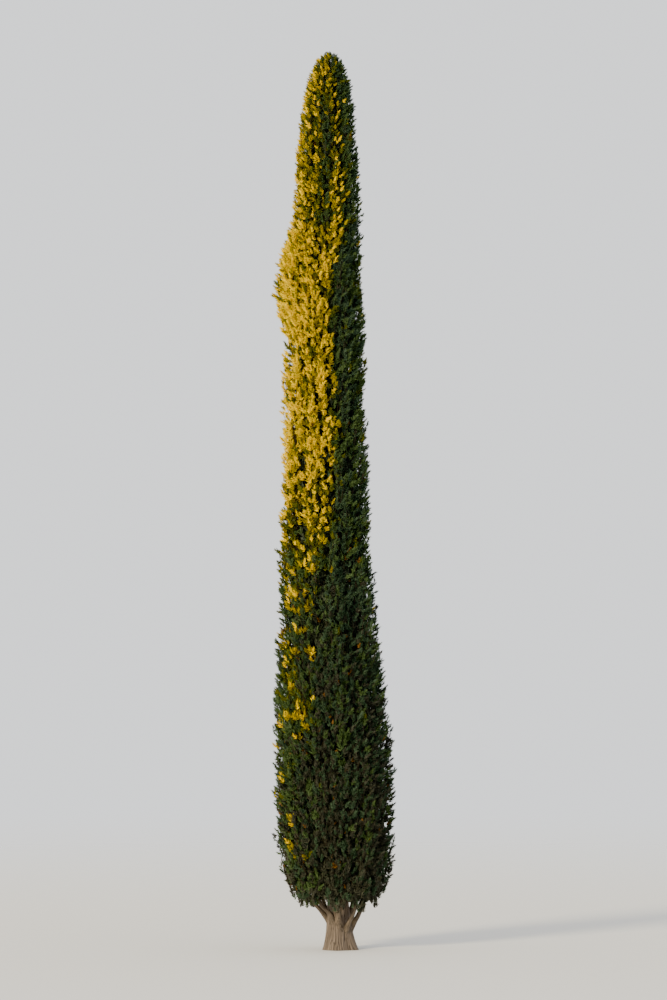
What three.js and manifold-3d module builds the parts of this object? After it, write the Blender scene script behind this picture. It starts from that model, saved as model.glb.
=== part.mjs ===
// A tall columnar cypress, rooted in level ground: one trunk with a flared foot, a ring of low boughs,
// and the narrow crown as upright masses of foliage that fit between one another like the scales of a cone.
// Millimetres, +Z up. The origin is the middle of the flat cut under the trunk. Seen along +Y, the tree
// leans a little towards -X, as it does in the photograph.
import * as THREE from "three";
import { mergeVertices } from "three/addons/utils/BufferGeometryUtils.js";
import Module from "manifold-3d";

const wasm = await Module();
wasm.setup();

// Driving dimensions of the whole tree
const TREE_HEIGHT = 19600;
const CROWN_RADIUS = 1325;
const CROWN_TAPER = 0.27; // the outline's radius grows with this power of the way down from the tip
const CROWN_FOOT = 720; // height of the lowest foliage
const FOOT_DRAW = 0.1; // how far the outline draws in at the foot, as a share of its radius
const FOOT_DRAW_HEIGHT = 900;
const SKIRT = 0.17; // how much fuller the low crown is, as a share of its radius
const SKIRT_HEIGHT = 3900;
const SKIRT_REACH = 2700;
const BULGE = 0.3; // how far the crown swells on its -X side, as a share of its radius
const BULGE_HEIGHT = 14500;
const BULGE_REACH = 900;
const LUMPS = 0.035; // how uneven the outline is, as a share of its radius
const LUMP_HEIGHTS = [830, 1270]; // the heights that the unevenness turns over
const TIP_LEAN = -230;
const BOW = -200; // how far the trunk bows out halfway up, towards -X
const BOW_BACK = 90; // and towards +Y

// The trunk
const TRUNK_RADIUS = 235;
const TRUNK_TOP = 18300; // above this the leading shoot is part of the tip's foliage
const TRUNK_POINT = 18900; // where the trunk's taper would run out
const TRUNK_TAPER = 0.75;
const TRUNK_SIDES = 14;
const TRUNK_STEPS = 11;
const TRUNK_STEP_GROWTH = 1.9; // brings the trunk's rings closer together in the flare
const FLARE = 150;
const FLARE_HEIGHT = 420;
const FLARE_LOBES = [
  { count: 3, depth: 0.2, phase: 0.6 },
  { count: 5, depth: 0.16, phase: 2 },
];
const TOUCH_GAP = 0.3; // between a limb and what carries it

// The crown's plan: columns of masses round the trunk, in tiers that lap. Levels are counted in tiers.
const COLUMNS = 8;
const TIERS = 5;
const TIER_PITCH = 3310;
const LAP = 0.5;
const CLIMB = 1300; // how far a mass rises on its way from the axis to the outline
const CLIMB_BUILDS_OVER = 3000;
const TWIST = -0.16; // radians that the columns turn by in each tier
const WANDER = 0.1; // radians that they swing to and fro
const HEAVE = 420; // how unevenly the tiers lie
const HEAVE_AT_FOOT = 0.4; // the share of it in the lowest tier
const SEAM = 0.02; // clear space on each side of a mass, in columns
const SEAM_DIP = 0.15; // how far the outline dips beside a mass, as a share of its radius
const FOOT_WIDTH = 0.5; // how wide a mass of the lowest tier is at its foot, as a share of its column
const FOOT_WIDENING = 2; // and how much wider it is in each level
const SHOULDER = 0.3; // how far a mass starts inside the outline at its foot
const SHOULDER_RUN = 0.45; // in levels
const TUCK = 0.1; // how far its tip draws in
const TUCK_RUN = 0.4;
const HEART = 0.62; // where a mass's inner side ends at its tip, as a share of the radius
const HEART_START = 0.5; // how far up a mass its inner side leaves the trunk, in levels
const TRUNK_CLEAR = 60;

// The dense core of a mass
const CORE_WIDTH = 0.86; // of the mass's own width
const CORE_COVER = 0.21; // depth of the sprays over the core, as a share of the radius
const CORE_LEAST = 0.04; // its least depth, as a share of the radius
const CORE_ENDS = 0.1; // clear of the mass's ends, in levels
const CORE_FOOT = 0.05; // and of its foot in the lowest tier
const CORE_SIDES = 8;
const CORE_STEPS = 6;
const CORE_STEP_GROWTH = 1.5; // brings a core's rings closer together at its foot

// The sprays that stand out of it
const SPRAYS_PER_MASS = 9;
const SPRAY_LENGTH = 1080;
const SPRAY_WIDTH = 440;
const SPRAY_THICKNESS = 220;
const SPRAY_SIZES = [0.85, 1.25]; // the smallest and the largest, as shares of those
const SPRAY_FITS = [1, 0.85, 0.7, 0.55, 0.45]; // the shares of its size that a spray is tried at
const SPRAY_SINK = 0.3; // share of a spray that is sunk in the core
const SPRAY_TILTS = [0.204, 0.476]; // radians from upright, at the foot of a mass
const SPRAY_STRAIGHTENING = 0.5; // how much less the sprays at its tip lean
const SPRAY_SWAY = 0.3;
const SPRAY_FAN = 0.12; // how far the sprays beside a mass's middle lean away from it
const SPRAY_ROLL = 1.4; // radians either way
const SPRAY_LEVELS = [0.2, 0.26]; // clear of the mass's foot and tip
const SPRAY_SPREAD = 0.85; // how far round the core they stand
const GOLDEN = 0.618034;

// The limbs
const LIMB_SIDES = 5;
const LIMB_TAPER = 0.6;
const COLLAR = 0.5; // how much thicker a limb is where it leaves the trunk
const COLLAR_REACH = 0.08; // as a share of the limb's length
const STEM_RADIUS = 30;
const STEM_SLIMMING = 0.12; // in each tier
const STEM_STEPS = 2;
const STEM_DROP = 78; // how far below its heel a stem leaves the trunk
const STEM_DROP_SHARE = 0.6; // and more, as a share of the trunk's radius
const STEM_HEEL = [0.16, 0.3]; // its level over the mass's foot, and its reach
const STEM_END = [0.34, 0.5];
const BOUGH_RADIUS = 52;
const BOUGH_STEPS = 4;
const BOUGH_START = 270; // height inside the trunk where the lowest bough begins
const BOUGH_SPREAD = 220; // difference in height between the lowest and the highest start
const BOUGH_RISE = 320; // how far a bough climbs while it leaves the trunk
const BOUGH_OUTSET = 60; // and how far it then stands off it
const BOUGH_HEEL = [0.12, 0.46]; // its level over the mass's foot, and its reach
const BOUGH_END = [0.42, 0.5];
const BOUGH_SHARE = 0.66; // of the limb's length that lies below the foliage

// The foliage round the leading shoot
const TIP_FOOT = 16600;
const TIP_CORE_TOP = 19250;
const TIP_CORE_SHARE = 0.44; // of the outline's radius
const TIP_CLEAR = 0.09; // between the tip and the masses round it, as a share of the radius
const TIP_SPRAYS = 14;
const TIP_SPRAY_HEIGHTS = [17700, 19100];
const TIP_SPRAY_SIZES = [0.7, 0.95];
const TIP_TILTS = [0.14, 0.44];
const LEADER = 560; // length of the leading shoot

const BARK = new THREE.MeshStandardMaterial({ color: 0x5d5044, roughness: 0.95, metalness: 0 });
const LIMB_BARK = new THREE.MeshStandardMaterial({ color: 0x6b5a49, roughness: 0.95, metalness: 0 });
const FOLIAGE = [0x2b3f1c, 0x35491a, 0x46541a, 0x5a6016, 0x5c5f14, 0x66650f].map(
  (color) => new THREE.MeshStandardMaterial({ color, roughness: 0.7, metalness: 0 }),
);

const { clamp, lerp } = THREE.MathUtils;
const FULL_TURN = 2 * Math.PI;
const SETTLING_PASSES = 12;
const SETTLING_STEP = 0.4;

// A repeatable number from 0 to 1 for each whole number and purpose
function chance(count, purpose) {
  const wave = Math.sin(count * 127.1 + purpose * 311.7) * 43758.5453;
  return wave - Math.floor(wave);
}

function between([low, high], share) {
  return lerp(low, high, share);
}

function flatVector(radius, angle) {
  return new THREE.Vector3(radius * Math.cos(angle), radius * Math.sin(angle), 0);
}

// The centre line that trunk and crown share
function axisAt(height) {
  const share = clamp(height / TREE_HEIGHT, 0, 1);
  const bulge = Math.sin(Math.PI * share);
  return new THREE.Vector3(TIP_LEAN * share + BOW * bulge, BOW_BACK * bulge, height);
}

function hump(height, middle, reach) {
  return Math.exp(-(((height - middle) / reach) ** 2));
}

// The outline's radius at a height and a direction round the axis
function crownRadius(height, angle) {
  const down = clamp((TREE_HEIGHT - height) / TREE_HEIGHT, 0, 1);
  const near = 1 - clamp((height - CROWN_FOOT) / FOOT_DRAW_HEIGHT, 0, 1);
  const fuller = SKIRT * hump(height, SKIRT_HEIGHT, SKIRT_REACH);
  const bulge = BULGE * hump(height, BULGE_HEIGHT, BULGE_REACH) * Math.max(0, -Math.cos(angle)) ** 3;
  const [slow, slower] = LUMP_HEIGHTS.map((turnover) => height / turnover);
  const lumps = LUMPS * Math.sin(2 * angle + slow) * Math.cos(3 * angle - slower);
  return CROWN_RADIUS * down ** CROWN_TAPER * (1 - FOOT_DRAW * near * near) * (1 + fuller + bulge + lumps);
}

function trunkRadius(height, angle = 0) {
  const waves = FLARE_LOBES.map((lobe) => lobe.depth * Math.cos(lobe.count * angle + lobe.phase));
  const lobes = waves.reduce((sum, wave) => sum + wave, 1);
  const flare = FLARE * Math.exp(-height / FLARE_HEIGHT) * lobes;
  return TRUNK_RADIUS * (1 - height / TRUNK_POINT) ** TRUNK_TAPER + flare;
}

// How unevenly the plan lies at a turn round the trunk and a tier up it
function unevenness(turn, tier) {
  const angle = (FULL_TURN / COLUMNS) * turn;
  return {
    swing: TWIST * tier + WANDER * Math.sin(2 * angle + 1.7 * tier),
    heave: HEAVE * Math.sin(3 * angle + 2.1 * tier) * clamp(HEAVE_AT_FOOT + tier, 0, 1),
  };
}

// A point of the crown from its turn, counted in columns, its tier, and its reach: 0 at the axis and 1 at
// the outline
function place(turn, tier, reach) {
  const { swing, heave } = unevenness(turn, tier);
  const angle = (FULL_TURN / COLUMNS) * turn + swing;
  const start = CROWN_FOOT + TIER_PITCH * tier + heave;
  const climb = CLIMB * clamp((start - CROWN_FOOT) / CLIMB_BUILDS_OVER, 0, 1);
  const height = Math.min(start + climb * reach, TREE_HEIGHT);
  const radius = reach * crownRadius(height, angle);
  return axisAt(height).add(flatVector(radius, angle));
}

// The turn, tier and reach of a point: the reverse of place
function planOf(point) {
  const axis = axisAt(point.z);
  const angle = Math.atan2(point.y - axis.y, point.x - axis.x);
  const reach = Math.hypot(point.x - axis.x, point.y - axis.y) / Math.max(crownRadius(point.z, angle), 1);
  let start = point.z - CLIMB * reach;
  if (start < CROWN_FOOT + CLIMB_BUILDS_OVER) {
    const rate = (CLIMB / CLIMB_BUILDS_OVER) * reach;
    start = Math.min(point.z, (point.z + rate * CROWN_FOOT) / (1 + rate));
  }
  let turn = (angle * COLUMNS) / FULL_TURN;
  let tier = (start - CROWN_FOOT) / TIER_PITCH;
  for (let pass = 0; pass < SETTLING_PASSES; pass += 1) {
    const { swing, heave } = unevenness(turn, tier);
    turn = ((angle - swing) * COLUMNS) / FULL_TURN;
    tier = (start - CROWN_FOOT - heave) / TIER_PITCH;
  }
  return { turn, tier, reach };
}

function heightOf(level) {
  return CROWN_FOOT + TIER_PITCH * Math.max(level, 0);
}

// The space of one mass in a tier. Level is counted up the crown, and side is -1 to 1 across the mass.
function massSpace(tier, column) {
  const lowest = tier === 0;
  const centre = column + (tier % 2) / 2;
  const low = lowest ? 0 : tier - LAP / 2;
  const high = tier + 1 + LAP / 2;
  const halfWidth = (level) => {
    const foot = lowest ? FOOT_WIDTH + FOOT_WIDENING * level : (level - low) / LAP;
    return Math.max(0, 0.5 * Math.min(1, foot, (high - level) / LAP) - SEAM);
  };
  const outer = (level, side) => {
    const foot = 1 - clamp((level - low) / SHOULDER_RUN, 0, 1);
    const tip = 1 - clamp((high - level) / TUCK_RUN, 0, 1);
    const shoulder = lowest ? 0 : SHOULDER * foot * foot;
    return (1 - SEAM_DIP * side * side) * (1 - shoulder) * (1 - TUCK * tip * tip);
  };
  const inner = (level) => {
    const leaves = tier + HEART_START;
    const clear = trunkRadius(heightOf(level)) + TRUNK_CLEAR;
    const tip = clamp((level - leaves) / (high - leaves), 0, 1);
    return lerp(clear / crownRadius(heightOf(level), 0), HEART, tip);
  };
  const holds = (point) => {
    const plan = planOf(point);
    const lapped = plan.turn - centre;
    const aside = Math.abs(lapped - COLUMNS * Math.round(lapped / COLUMNS));
    const half = halfWidth(plan.tier);
    if (plan.tier < low || plan.tier > high || aside > half) return false;
    const side = half > 0 ? aside / (half + SEAM) : 0;
    return plan.reach <= outer(plan.tier, side) && plan.reach >= inner(plan.tier);
  };
  return { lowest, centre, low, high, halfWidth, outer, inner, holds, seed: 10 * tier + column };
}

// A closed solid from a three.js geometry whose vertices are first moved by a rule
function solidOf(geometry, move) {
  geometry.deleteAttribute("normal");
  geometry.deleteAttribute("uv");
  const merged = mergeVertices(geometry, 1e-4);
  const positions = merged.getAttribute("position");
  const point = new THREE.Vector3();
  for (let i = 0; i < positions.count; i += 1) {
    const moved = move(point.fromBufferAttribute(positions, i));
    positions.setXYZ(i, moved.x, moved.y, moved.z);
  }
  const mesh = new wasm.Mesh({
    numProp: 3,
    vertProperties: new Float32Array(positions.array),
    triVerts: new Uint32Array(merged.index.array),
  });
  return new wasm.Manifold(mesh);
}

// Joins solids into one body: scraps that touch nothing are dropped, and sealed hollows are filled
function fuse(solids, limbs) {
  const joined = solids.reduce((whole, solid) => whole.add(solid));
  const bodies = limbs.reduce((whole, limb) => whole.subtract(limb), joined).decompose();
  return bodies.reduce((largest, body) => (body.volume() > largest.volume() ? body : largest));
}

function meshOf(name, solid, material) {
  const { vertProperties, triVerts, numProp, numVert } = solid.getMesh();
  const positions = new Float32Array(numVert * 3);
  for (let i = 0; i < numVert; i += 1) {
    positions.set(vertProperties.subarray(i * numProp, i * numProp + 3), i * 3);
  }
  const geometry = new THREE.BufferGeometry();
  geometry.setAttribute("position", new THREE.BufferAttribute(positions, 3));
  geometry.setIndex(new THREE.BufferAttribute(new Uint32Array(triVerts), 1));
  const mesh = new THREE.Mesh(geometry, material);
  mesh.name = name;
  return mesh;
}

// The trunk, or with a margin the space that other pieces keep clear of it
function trunkSolid(margin) {
  const geometry = new THREE.CylinderGeometry(1, 1, 1, TRUNK_SIDES, TRUNK_STEPS);
  return solidOf(geometry, (vertex) => {
    const height = (vertex.y + 0.5) ** TRUNK_STEP_GROWTH * TRUNK_TOP;
    const angle = -Math.atan2(vertex.z, vertex.x);
    const radius = Math.hypot(vertex.x, vertex.z) * (trunkRadius(height, angle) + margin);
    const past = Math.abs(vertex.y) < 0.5 ? 0 : 2 * vertex.y * margin;
    return axisAt(height + past).add(flatVector(radius, angle));
  });
}

// A tapering limb along a curve, from one share of its length to another; with a margin, the space round it
function limbSolid(curve, from, to, radiusAt, steps, margin = 0) {
  const geometry = new THREE.CylinderGeometry(1, 1, 1, LIMB_SIDES, steps);
  const run = curve.getPoint(1).sub(curve.getPoint(0));
  const sideways = new THREE.Vector3(-run.y, run.x, 0).normalize();
  return solidOf(geometry, (vertex) => {
    const along = lerp(from, to, vertex.y + 0.5);
    const heading = curve.getTangentAt(along);
    const over = new THREE.Vector3().crossVectors(sideways, heading).normalize();
    const across = new THREE.Vector3().crossVectors(heading, over);
    const radius = radiusAt(along) + margin;
    const past = Math.abs(vertex.y) < 0.5 ? 0 : 2 * vertex.y * margin;
    return curve
      .getPointAt(along)
      .addScaledVector(heading, past)
      .addScaledVector(across, vertex.x * radius)
      .addScaledVector(over, vertex.z * radius);
  });
}

// The dense heart of a mass: a spindle that follows the mass's space at a distance
function coreSolid(space) {
  const low = space.low + (space.lowest ? CORE_FOOT : CORE_ENDS);
  const high = space.high - CORE_ENDS;
  return solidOf(spindleGeometry(), (vertex) => {
    const { up, angle, full } = spindlePlace(vertex);
    const level = lerp(low, high, up ** CORE_STEP_GROWTH);
    const side = Math.sin(angle) * full;
    const inner = space.inner(level);
    const outer = Math.max(space.outer(level, side) - CORE_COVER, inner + CORE_LEAST);
    const reach = lerp(inner, outer, 0.5 + 0.5 * Math.cos(angle) * full);
    return place(space.centre + CORE_WIDTH * space.halfWidth(level) * side, level, reach);
  });
}

function spindleGeometry() {
  return new THREE.SphereGeometry(1, CORE_SIDES, CORE_STEPS);
}

// How far up a spindle a vertex of its geometry is, and its direction round it; full is 0 at the ends
function spindlePlace(vertex) {
  const up = 1 - Math.acos(clamp(vertex.y, -1, 1)) / Math.PI;
  const full = Math.hypot(vertex.x, vertex.z) > 1e-6 ? 1 : 0;
  return { up, angle: full ? -Math.atan2(vertex.z, vertex.x) : 0, full };
}

// The space of the tip: inside and between the highest masses, and above them out to the outline
function tipSpace(around) {
  // How far the inside reaches at a height. Its level depends on the reach, so the two settle together.
  const limit = (height) => {
    let reach = TIP_CORE_SHARE;
    for (let pass = 0; pass < SETTLING_PASSES; pass += 1) {
      const level = (height - CLIMB * reach - CROWN_FOOT) / TIER_PITCH;
      const free = level > around.high ? 1 : around.inner(level) - TIP_CLEAR;
      reach = lerp(reach, free, SETTLING_STEP);
    }
    return reach;
  };
  const holds = (point) => {
    const plan = planOf(point);
    const lapped = plan.turn - around.centre;
    const aside = Math.abs(lapped - Math.round(lapped));
    const beside = aside > around.halfWidth(plan.tier) + 2 * SEAM;
    const inside = plan.reach < around.inner(plan.tier) - TIP_CLEAR / 2;
    return point.z <= TREE_HEIGHT && plan.reach <= 1 && plan.tier > around.high - LAP && (beside || inside);
  };
  const seat = (height, angle) => {
    const radius = Math.min(TIP_CORE_SHARE, limit(height)) * crownRadius(height, angle);
    return axisAt(height).add(flatVector(radius, angle));
  };
  return { holds, seat };
}

// The dense heart of the tip, round the trunk's end
function tipCore(space) {
  return solidOf(spindleGeometry(), (vertex) => {
    const { up, angle, full } = spindlePlace(vertex);
    const height = lerp(TIP_FOOT, TIP_CORE_TOP, up);
    return full ? space.seat(height, angle) : axisAt(height);
  });
}

// The outline of a spray, as shares of its length and width: a root, a pointed tip and a forward tooth on
// each side
const SPRAY_OUTLINE = [
  [0, 0],
  [0.66, 0.44],
  [0.55, 0.17],
  [1, 0],
  [0.44, -0.17],
  [0.53, -0.46],
];
const SPRAY_TIP = 3; // the outline's pointed tip
const SPRAY_MIDDLE = 0.4; // how far along the spray is thickest

// The corners of a spray: its outline, and the front and back of its thick middle
function sprayCorners(root, heading, across, length) {
  const width = SPRAY_WIDTH * (length / SPRAY_LENGTH);
  const rise = (SPRAY_THICKNESS / 2) * (length / SPRAY_LENGTH);
  const outline = SPRAY_OUTLINE.map(([along, aside]) =>
    root.clone().addScaledVector(heading, along * length).addScaledVector(across, aside * width),
  );
  const face = new THREE.Vector3().crossVectors(heading, across);
  const middle = root.clone().addScaledVector(heading, SPRAY_MIDDLE * length);
  const front = middle.clone().addScaledVector(face, rise);
  const back = middle.clone().addScaledVector(face, -rise);
  return { outline, front, back };
}

// A toothed blade, thick in the middle
function spraySolid(root, heading, across, length) {
  const { outline, front, back } = sprayCorners(root, heading, across, length);
  const triangles = [];
  outline.forEach((point, i) => {
    const next = outline[(i + 1) % outline.length];
    triangles.push(next, point, front, point, next, back);
  });
  const geometry = new THREE.BufferGeometry().setFromPoints(triangles);
  return solidOf(geometry, (vertex) => vertex);
}

// A spray's heading and width direction from the direction it leans in, its tilt from upright and its roll
function sprayFrame(outwards, tilt, sway, roll) {
  const sideways = new THREE.Vector3(-outwards.y, outwards.x, 0);
  const heading = new THREE.Vector3(0, 0, Math.cos(tilt))
    .addScaledVector(outwards, Math.sin(tilt))
    .addScaledVector(sideways, sway)
    .normalize();
  const across = new THREE.Vector3().crossVectors(heading, outwards).normalize();
  return { heading, across: across.applyAxisAngle(heading, roll) };
}

// The sprays of a mass climb its core in a golden spiral
function spraySolids(space) {
  const sprays = [];
  const levels = [space.low + SPRAY_LEVELS[0], space.high - SPRAY_LEVELS[1]];
  for (let i = 0; i < SPRAYS_PER_MASS; i += 1) {
    const seed = 100 * space.seed + i;
    const up = (i + chance(seed, 1)) / SPRAYS_PER_MASS;
    const side = 2 * SPRAY_SPREAD * (((i * GOLDEN + chance(space.seed, 2)) % 1) - 0.5);
    const level = between(levels, up);
    const cover = space.outer(level, side) - CORE_COVER * (1 + side * side);
    const turn = space.centre + side * CORE_WIDTH * space.halfWidth(level);
    const seat = place(turn, level, Math.max(cover, space.inner(level)));
    const outwards = seat.clone().sub(axisAt(seat.z)).normalize();
    const tilt = between(SPRAY_TILTS, chance(seed, 3)) * (1 - SPRAY_STRAIGHTENING * up);
    const sway = SPRAY_SWAY * (chance(seed, 4) - 0.5) + SPRAY_FAN * side;
    const frame = sprayFrame(outwards, tilt, sway, SPRAY_ROLL * (2 * chance(seed, 5) - 1));
    const slender = crownRadius(seat.z, 0) / CROWN_RADIUS;
    const full = SPRAY_LENGTH * slender * between(SPRAY_SIZES, chance(seed, 6));
    sprays.push(...fittedSpray(space, seat, frame, full));
  }
  return sprays;
}

// A spray seated in a core, as long as the space allows, or none
function fittedSpray(space, seat, { heading, across }, full) {
  const rootOf = (length) => seat.clone().addScaledVector(heading, -SPRAY_SINK * length);
  const fits = (length) => {
    const { outline, front, back } = sprayCorners(rootOf(length), heading, across, length);
    const corners = [...outline.slice(1), front, back];
    const ends = [front, back, outline[SPRAY_TIP]];
    const midpoints = corners.flatMap((corner) => ends.map((end) => corner.clone().lerp(end, 0.5)));
    return [...corners, ...midpoints].every(space.holds);
  };
  const length = SPRAY_FITS.map((share) => share * full).find(fits);
  return length ? [spraySolid(rootOf(length), heading, across, length)] : [];
}

// The tip's sprays climb its core in a golden spiral, and the last one is the leading shoot
function tipSprays(space) {
  const sprays = [];
  for (let i = 0; i < TIP_SPRAYS; i += 1) {
    const seed = 9000 + i;
    const angle = FULL_TURN * GOLDEN * i;
    const seat = space.seat(between(TIP_SPRAY_HEIGHTS, (i + 0.5) / TIP_SPRAYS), angle);
    const roll = SPRAY_ROLL * (2 * chance(seed, 5) - 1);
    const frame = sprayFrame(flatVector(1, angle), between(TIP_TILTS, chance(seed, 3)), 0, roll);
    const full = SPRAY_LENGTH * between(TIP_SPRAY_SIZES, chance(seed, 6));
    sprays.push(...fittedSpray(space, seat, frame, full));
  }
  const summit = axisAt(TREE_HEIGHT);
  const heading = summit.clone().sub(axisAt(TIP_CORE_TOP)).normalize();
  const base = summit.addScaledVector(heading, -LEADER);
  sprays.push(spraySolid(base, heading, new THREE.Vector3(1, 0, 0), LEADER));
  return sprays;
}

// The limb that carries a mass, from inside the trunk to the middle of the mass's core
function limbCurve(space) {
  const [heelLevel, heelReach] = space.lowest ? BOUGH_HEEL : STEM_HEEL;
  const [endLevel, endReach] = space.lowest ? BOUGH_END : STEM_END;
  const heel = place(space.centre, space.low + heelLevel, heelReach);
  const core = place(space.centre, space.low + endLevel, endReach);
  const axis = axisAt(core.z);
  const angle = Math.atan2(heel.y - axis.y, heel.x - axis.x);
  const start = space.lowest
    ? BOUGH_START + BOUGH_SPREAD * chance(space.seed, 7)
    : heel.z - STEM_DROP - STEM_DROP_SHARE * trunkRadius(heel.z);
  const root = axisAt(start).add(flatVector(trunkRadius(start) / 2, angle));
  const elbow = axisAt(start + BOUGH_RISE).add(flatVector(trunkRadius(start) + BOUGH_OUTSET, angle));
  const points = space.lowest ? [root, elbow, heel, core] : [root, heel, core];
  return new THREE.CatmullRomCurve3(points, false, "centripetal");
}

const cypress = new THREE.Group();
const trunkTouch = trunkSolid(TOUCH_GAP);
cypress.add(meshOf("trunk", trunkSolid(0), BARK));

for (let tier = 0; tier < TIERS; tier += 1) {
  for (let column = 0; column < COLUMNS; column += 1) {
    const space = massSpace(tier, column);
    const curve = limbCurve(space);
    const thickness = space.lowest ? BOUGH_RADIUS : STEM_RADIUS * (1 - STEM_SLIMMING * tier);
    const radiusAt = (along) =>
      thickness * (1 + COLLAR * Math.exp(-along / COLLAR_REACH)) * (1 - LIMB_TAPER * along);
    const limbs = [trunkTouch];
    if (space.lowest) {
      const bough = limbSolid(curve, 0, BOUGH_SHARE, radiusAt, BOUGH_STEPS);
      limbs.push(limbSolid(curve, 0, BOUGH_SHARE, radiusAt, BOUGH_STEPS, TOUCH_GAP));
      cypress.add(meshOf(`bough_${column + 1}`, bough.subtract(trunkTouch), LIMB_BARK));
    }
    const stem = limbSolid(curve, space.lowest ? BOUGH_SHARE : 0, 1, radiusAt, STEM_STEPS);
    const mass = fuse([coreSolid(space), stem, ...spraySolids(space)], limbs);
    cypress.add(meshOf(`foliage_${tier + 1}_${column + 1}`, mass, FOLIAGE[tier]));
  }
}

const tip = tipSpace(massSpace(TIERS - 1, 0));
cypress.add(meshOf("foliage_tip", fuse([tipCore(tip), ...tipSprays(tip)], [trunkTouch]), FOLIAGE[TIERS]));

export default cypress;
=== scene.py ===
"""A tall columnar cypress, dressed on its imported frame: barked trunk and boughs, twigs and leafy tufts."""

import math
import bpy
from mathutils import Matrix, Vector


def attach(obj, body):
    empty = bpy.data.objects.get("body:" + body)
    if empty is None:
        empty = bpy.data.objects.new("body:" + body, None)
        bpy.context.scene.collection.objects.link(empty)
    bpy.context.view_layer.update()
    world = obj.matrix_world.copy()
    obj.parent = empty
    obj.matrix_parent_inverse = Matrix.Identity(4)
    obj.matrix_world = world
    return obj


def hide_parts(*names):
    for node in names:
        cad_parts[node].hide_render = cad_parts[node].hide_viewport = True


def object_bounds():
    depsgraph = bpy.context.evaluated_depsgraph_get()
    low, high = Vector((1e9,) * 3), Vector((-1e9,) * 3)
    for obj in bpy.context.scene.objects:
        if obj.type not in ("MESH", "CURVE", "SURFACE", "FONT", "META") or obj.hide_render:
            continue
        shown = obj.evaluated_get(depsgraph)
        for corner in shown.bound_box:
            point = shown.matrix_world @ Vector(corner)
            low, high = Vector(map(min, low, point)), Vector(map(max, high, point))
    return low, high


bl_info = {
    "name": "Columnar cypress",
    "version": (1, 0, 0),
    "blender": (4, 5, 0),
    "location": "3D View > Sidebar > Cypress",
    "description": "Bark, limbs, twigs and sprays for the columnar cypress, on its packed frame",
    "category": "Object",
}

from typing import NamedTuple

import bpy
import numpy as np
from bpy.props import FloatProperty, FloatVectorProperty, IntProperty, PointerProperty
from bpy.types import Operator, Panel, PropertyGroup
from mathutils import Vector
from mathutils.kdtree import KDTree

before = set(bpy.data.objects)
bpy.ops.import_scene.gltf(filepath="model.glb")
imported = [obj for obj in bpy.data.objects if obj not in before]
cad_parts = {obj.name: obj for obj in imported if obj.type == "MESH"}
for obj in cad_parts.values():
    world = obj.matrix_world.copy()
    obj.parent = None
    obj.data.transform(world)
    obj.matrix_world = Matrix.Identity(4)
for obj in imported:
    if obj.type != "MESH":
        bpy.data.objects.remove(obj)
CAD_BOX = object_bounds()

BODY = "root"
UP = np.array([0.0, 0.0, 1.0])
FULL_TURN = 2 * math.pi
GOLDEN_ANGLE = 2.39996323

# The tree's driving sizes, in metres, as in the part's source
TREE_HEIGHT = 19.6
CROWN_RADIUS = 1.325
CROWN_TAPER = 0.27
CROWN_FOOT = 0.72
FOOT_DRAW = 0.1
FOOT_DRAW_HEIGHT = 0.9
SKIRT = 0.17
SKIRT_HEIGHT = 3.9
SKIRT_REACH = 2.7
BULGE = 0.3
BULGE_HEIGHT = 14.5
BULGE_REACH = 0.9
LUMPS = 0.035
LUMP_HEIGHTS = (0.83, 1.27)
TIP_LEAN = -0.23
BOW = -0.2
BOW_BACK = 0.09

TRUNK_RADIUS = 0.235
TRUNK_TOP = 18.3
TRUNK_POINT = 18.9
TRUNK_TAPER = 0.75
FLARE = 0.15
FLARE_HEIGHT = 0.42
FLARE_LOBES = ((3, 0.2, 0.6), (5, 0.16, 2.0))  # count, depth and phase

# The crown's plan: columns of masses round the trunk, in tiers that lap
COLUMNS = 8
TIERS = 5
TIER_PITCH = 3.31
LAP = 0.5
CLIMB = 1.3
CLIMB_BUILDS_OVER = 3.0
TWIST = -0.16
WANDER = 0.1
HEAVE = 0.42
HEAVE_AT_FOOT = 0.4
SEAM = 0.02
SEAM_DIP = 0.15
FOOT_WIDTH = 0.5
FOOT_WIDENING = 2.0
SHOULDER = 0.3
SHOULDER_RUN = 0.45
TUCK = 0.1
TUCK_RUN = 0.4
HEART = 0.62
HEART_START = 0.5
TRUNK_CLEAR = 0.06
CORE_WIDTH = 0.86
CORE_COVER = 0.21
SETTLING_PASSES = 12
SETTLING_STEP = 0.4

# The large sprays that the source gives each mass, which the plumes here follow
SPRAYS_PER_MASS = 9
SPRAY_LENGTH = 1.08
SPRAY_WIDTH = 0.44
SPRAY_THICKNESS = 0.22
SPRAY_SIZES = (0.85, 1.25)
SPRAY_FITS = (1, 0.85, 0.7, 0.55, 0.45)
SPRAY_SINK = 0.3
SPRAY_TILTS = (0.204, 0.476)
SPRAY_STRAIGHTENING = 0.5
SPRAY_SWAY = 0.3
SPRAY_FAN = 0.12
SPRAY_ROLL = 1.4
SPRAY_LEVELS = (0.2, 0.26)
SPRAY_SPREAD = 0.85
SPRAY_OUTLINE = ((0, 0), (0.66, 0.44), (0.55, 0.17), (1, 0), (0.44, -0.17), (0.53, -0.46))
SPRAY_TIP = 3
SPRAY_MIDDLE = 0.4
GOLDEN = 0.618034

# The limbs
LIMB_TAPER = 0.6
COLLAR = 0.5
COLLAR_REACH = 0.08
STEM_RADIUS = 0.03
STEM_SLIMMING = 0.12
STEM_DROP = 0.078
STEM_DROP_SHARE = 0.6
STEM_HEEL = (0.16, 0.3)
STEM_END = (0.34, 0.5)
BOUGH_RADIUS = 0.052
BOUGH_START = 0.27
BOUGH_SPREAD = 0.22
BOUGH_RISE = 0.32
BOUGH_OUTSET = 0.06
BOUGH_HEEL = (0.12, 0.46)
BOUGH_END = (0.42, 0.5)
BOUGH_SHARE = 0.66

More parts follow.
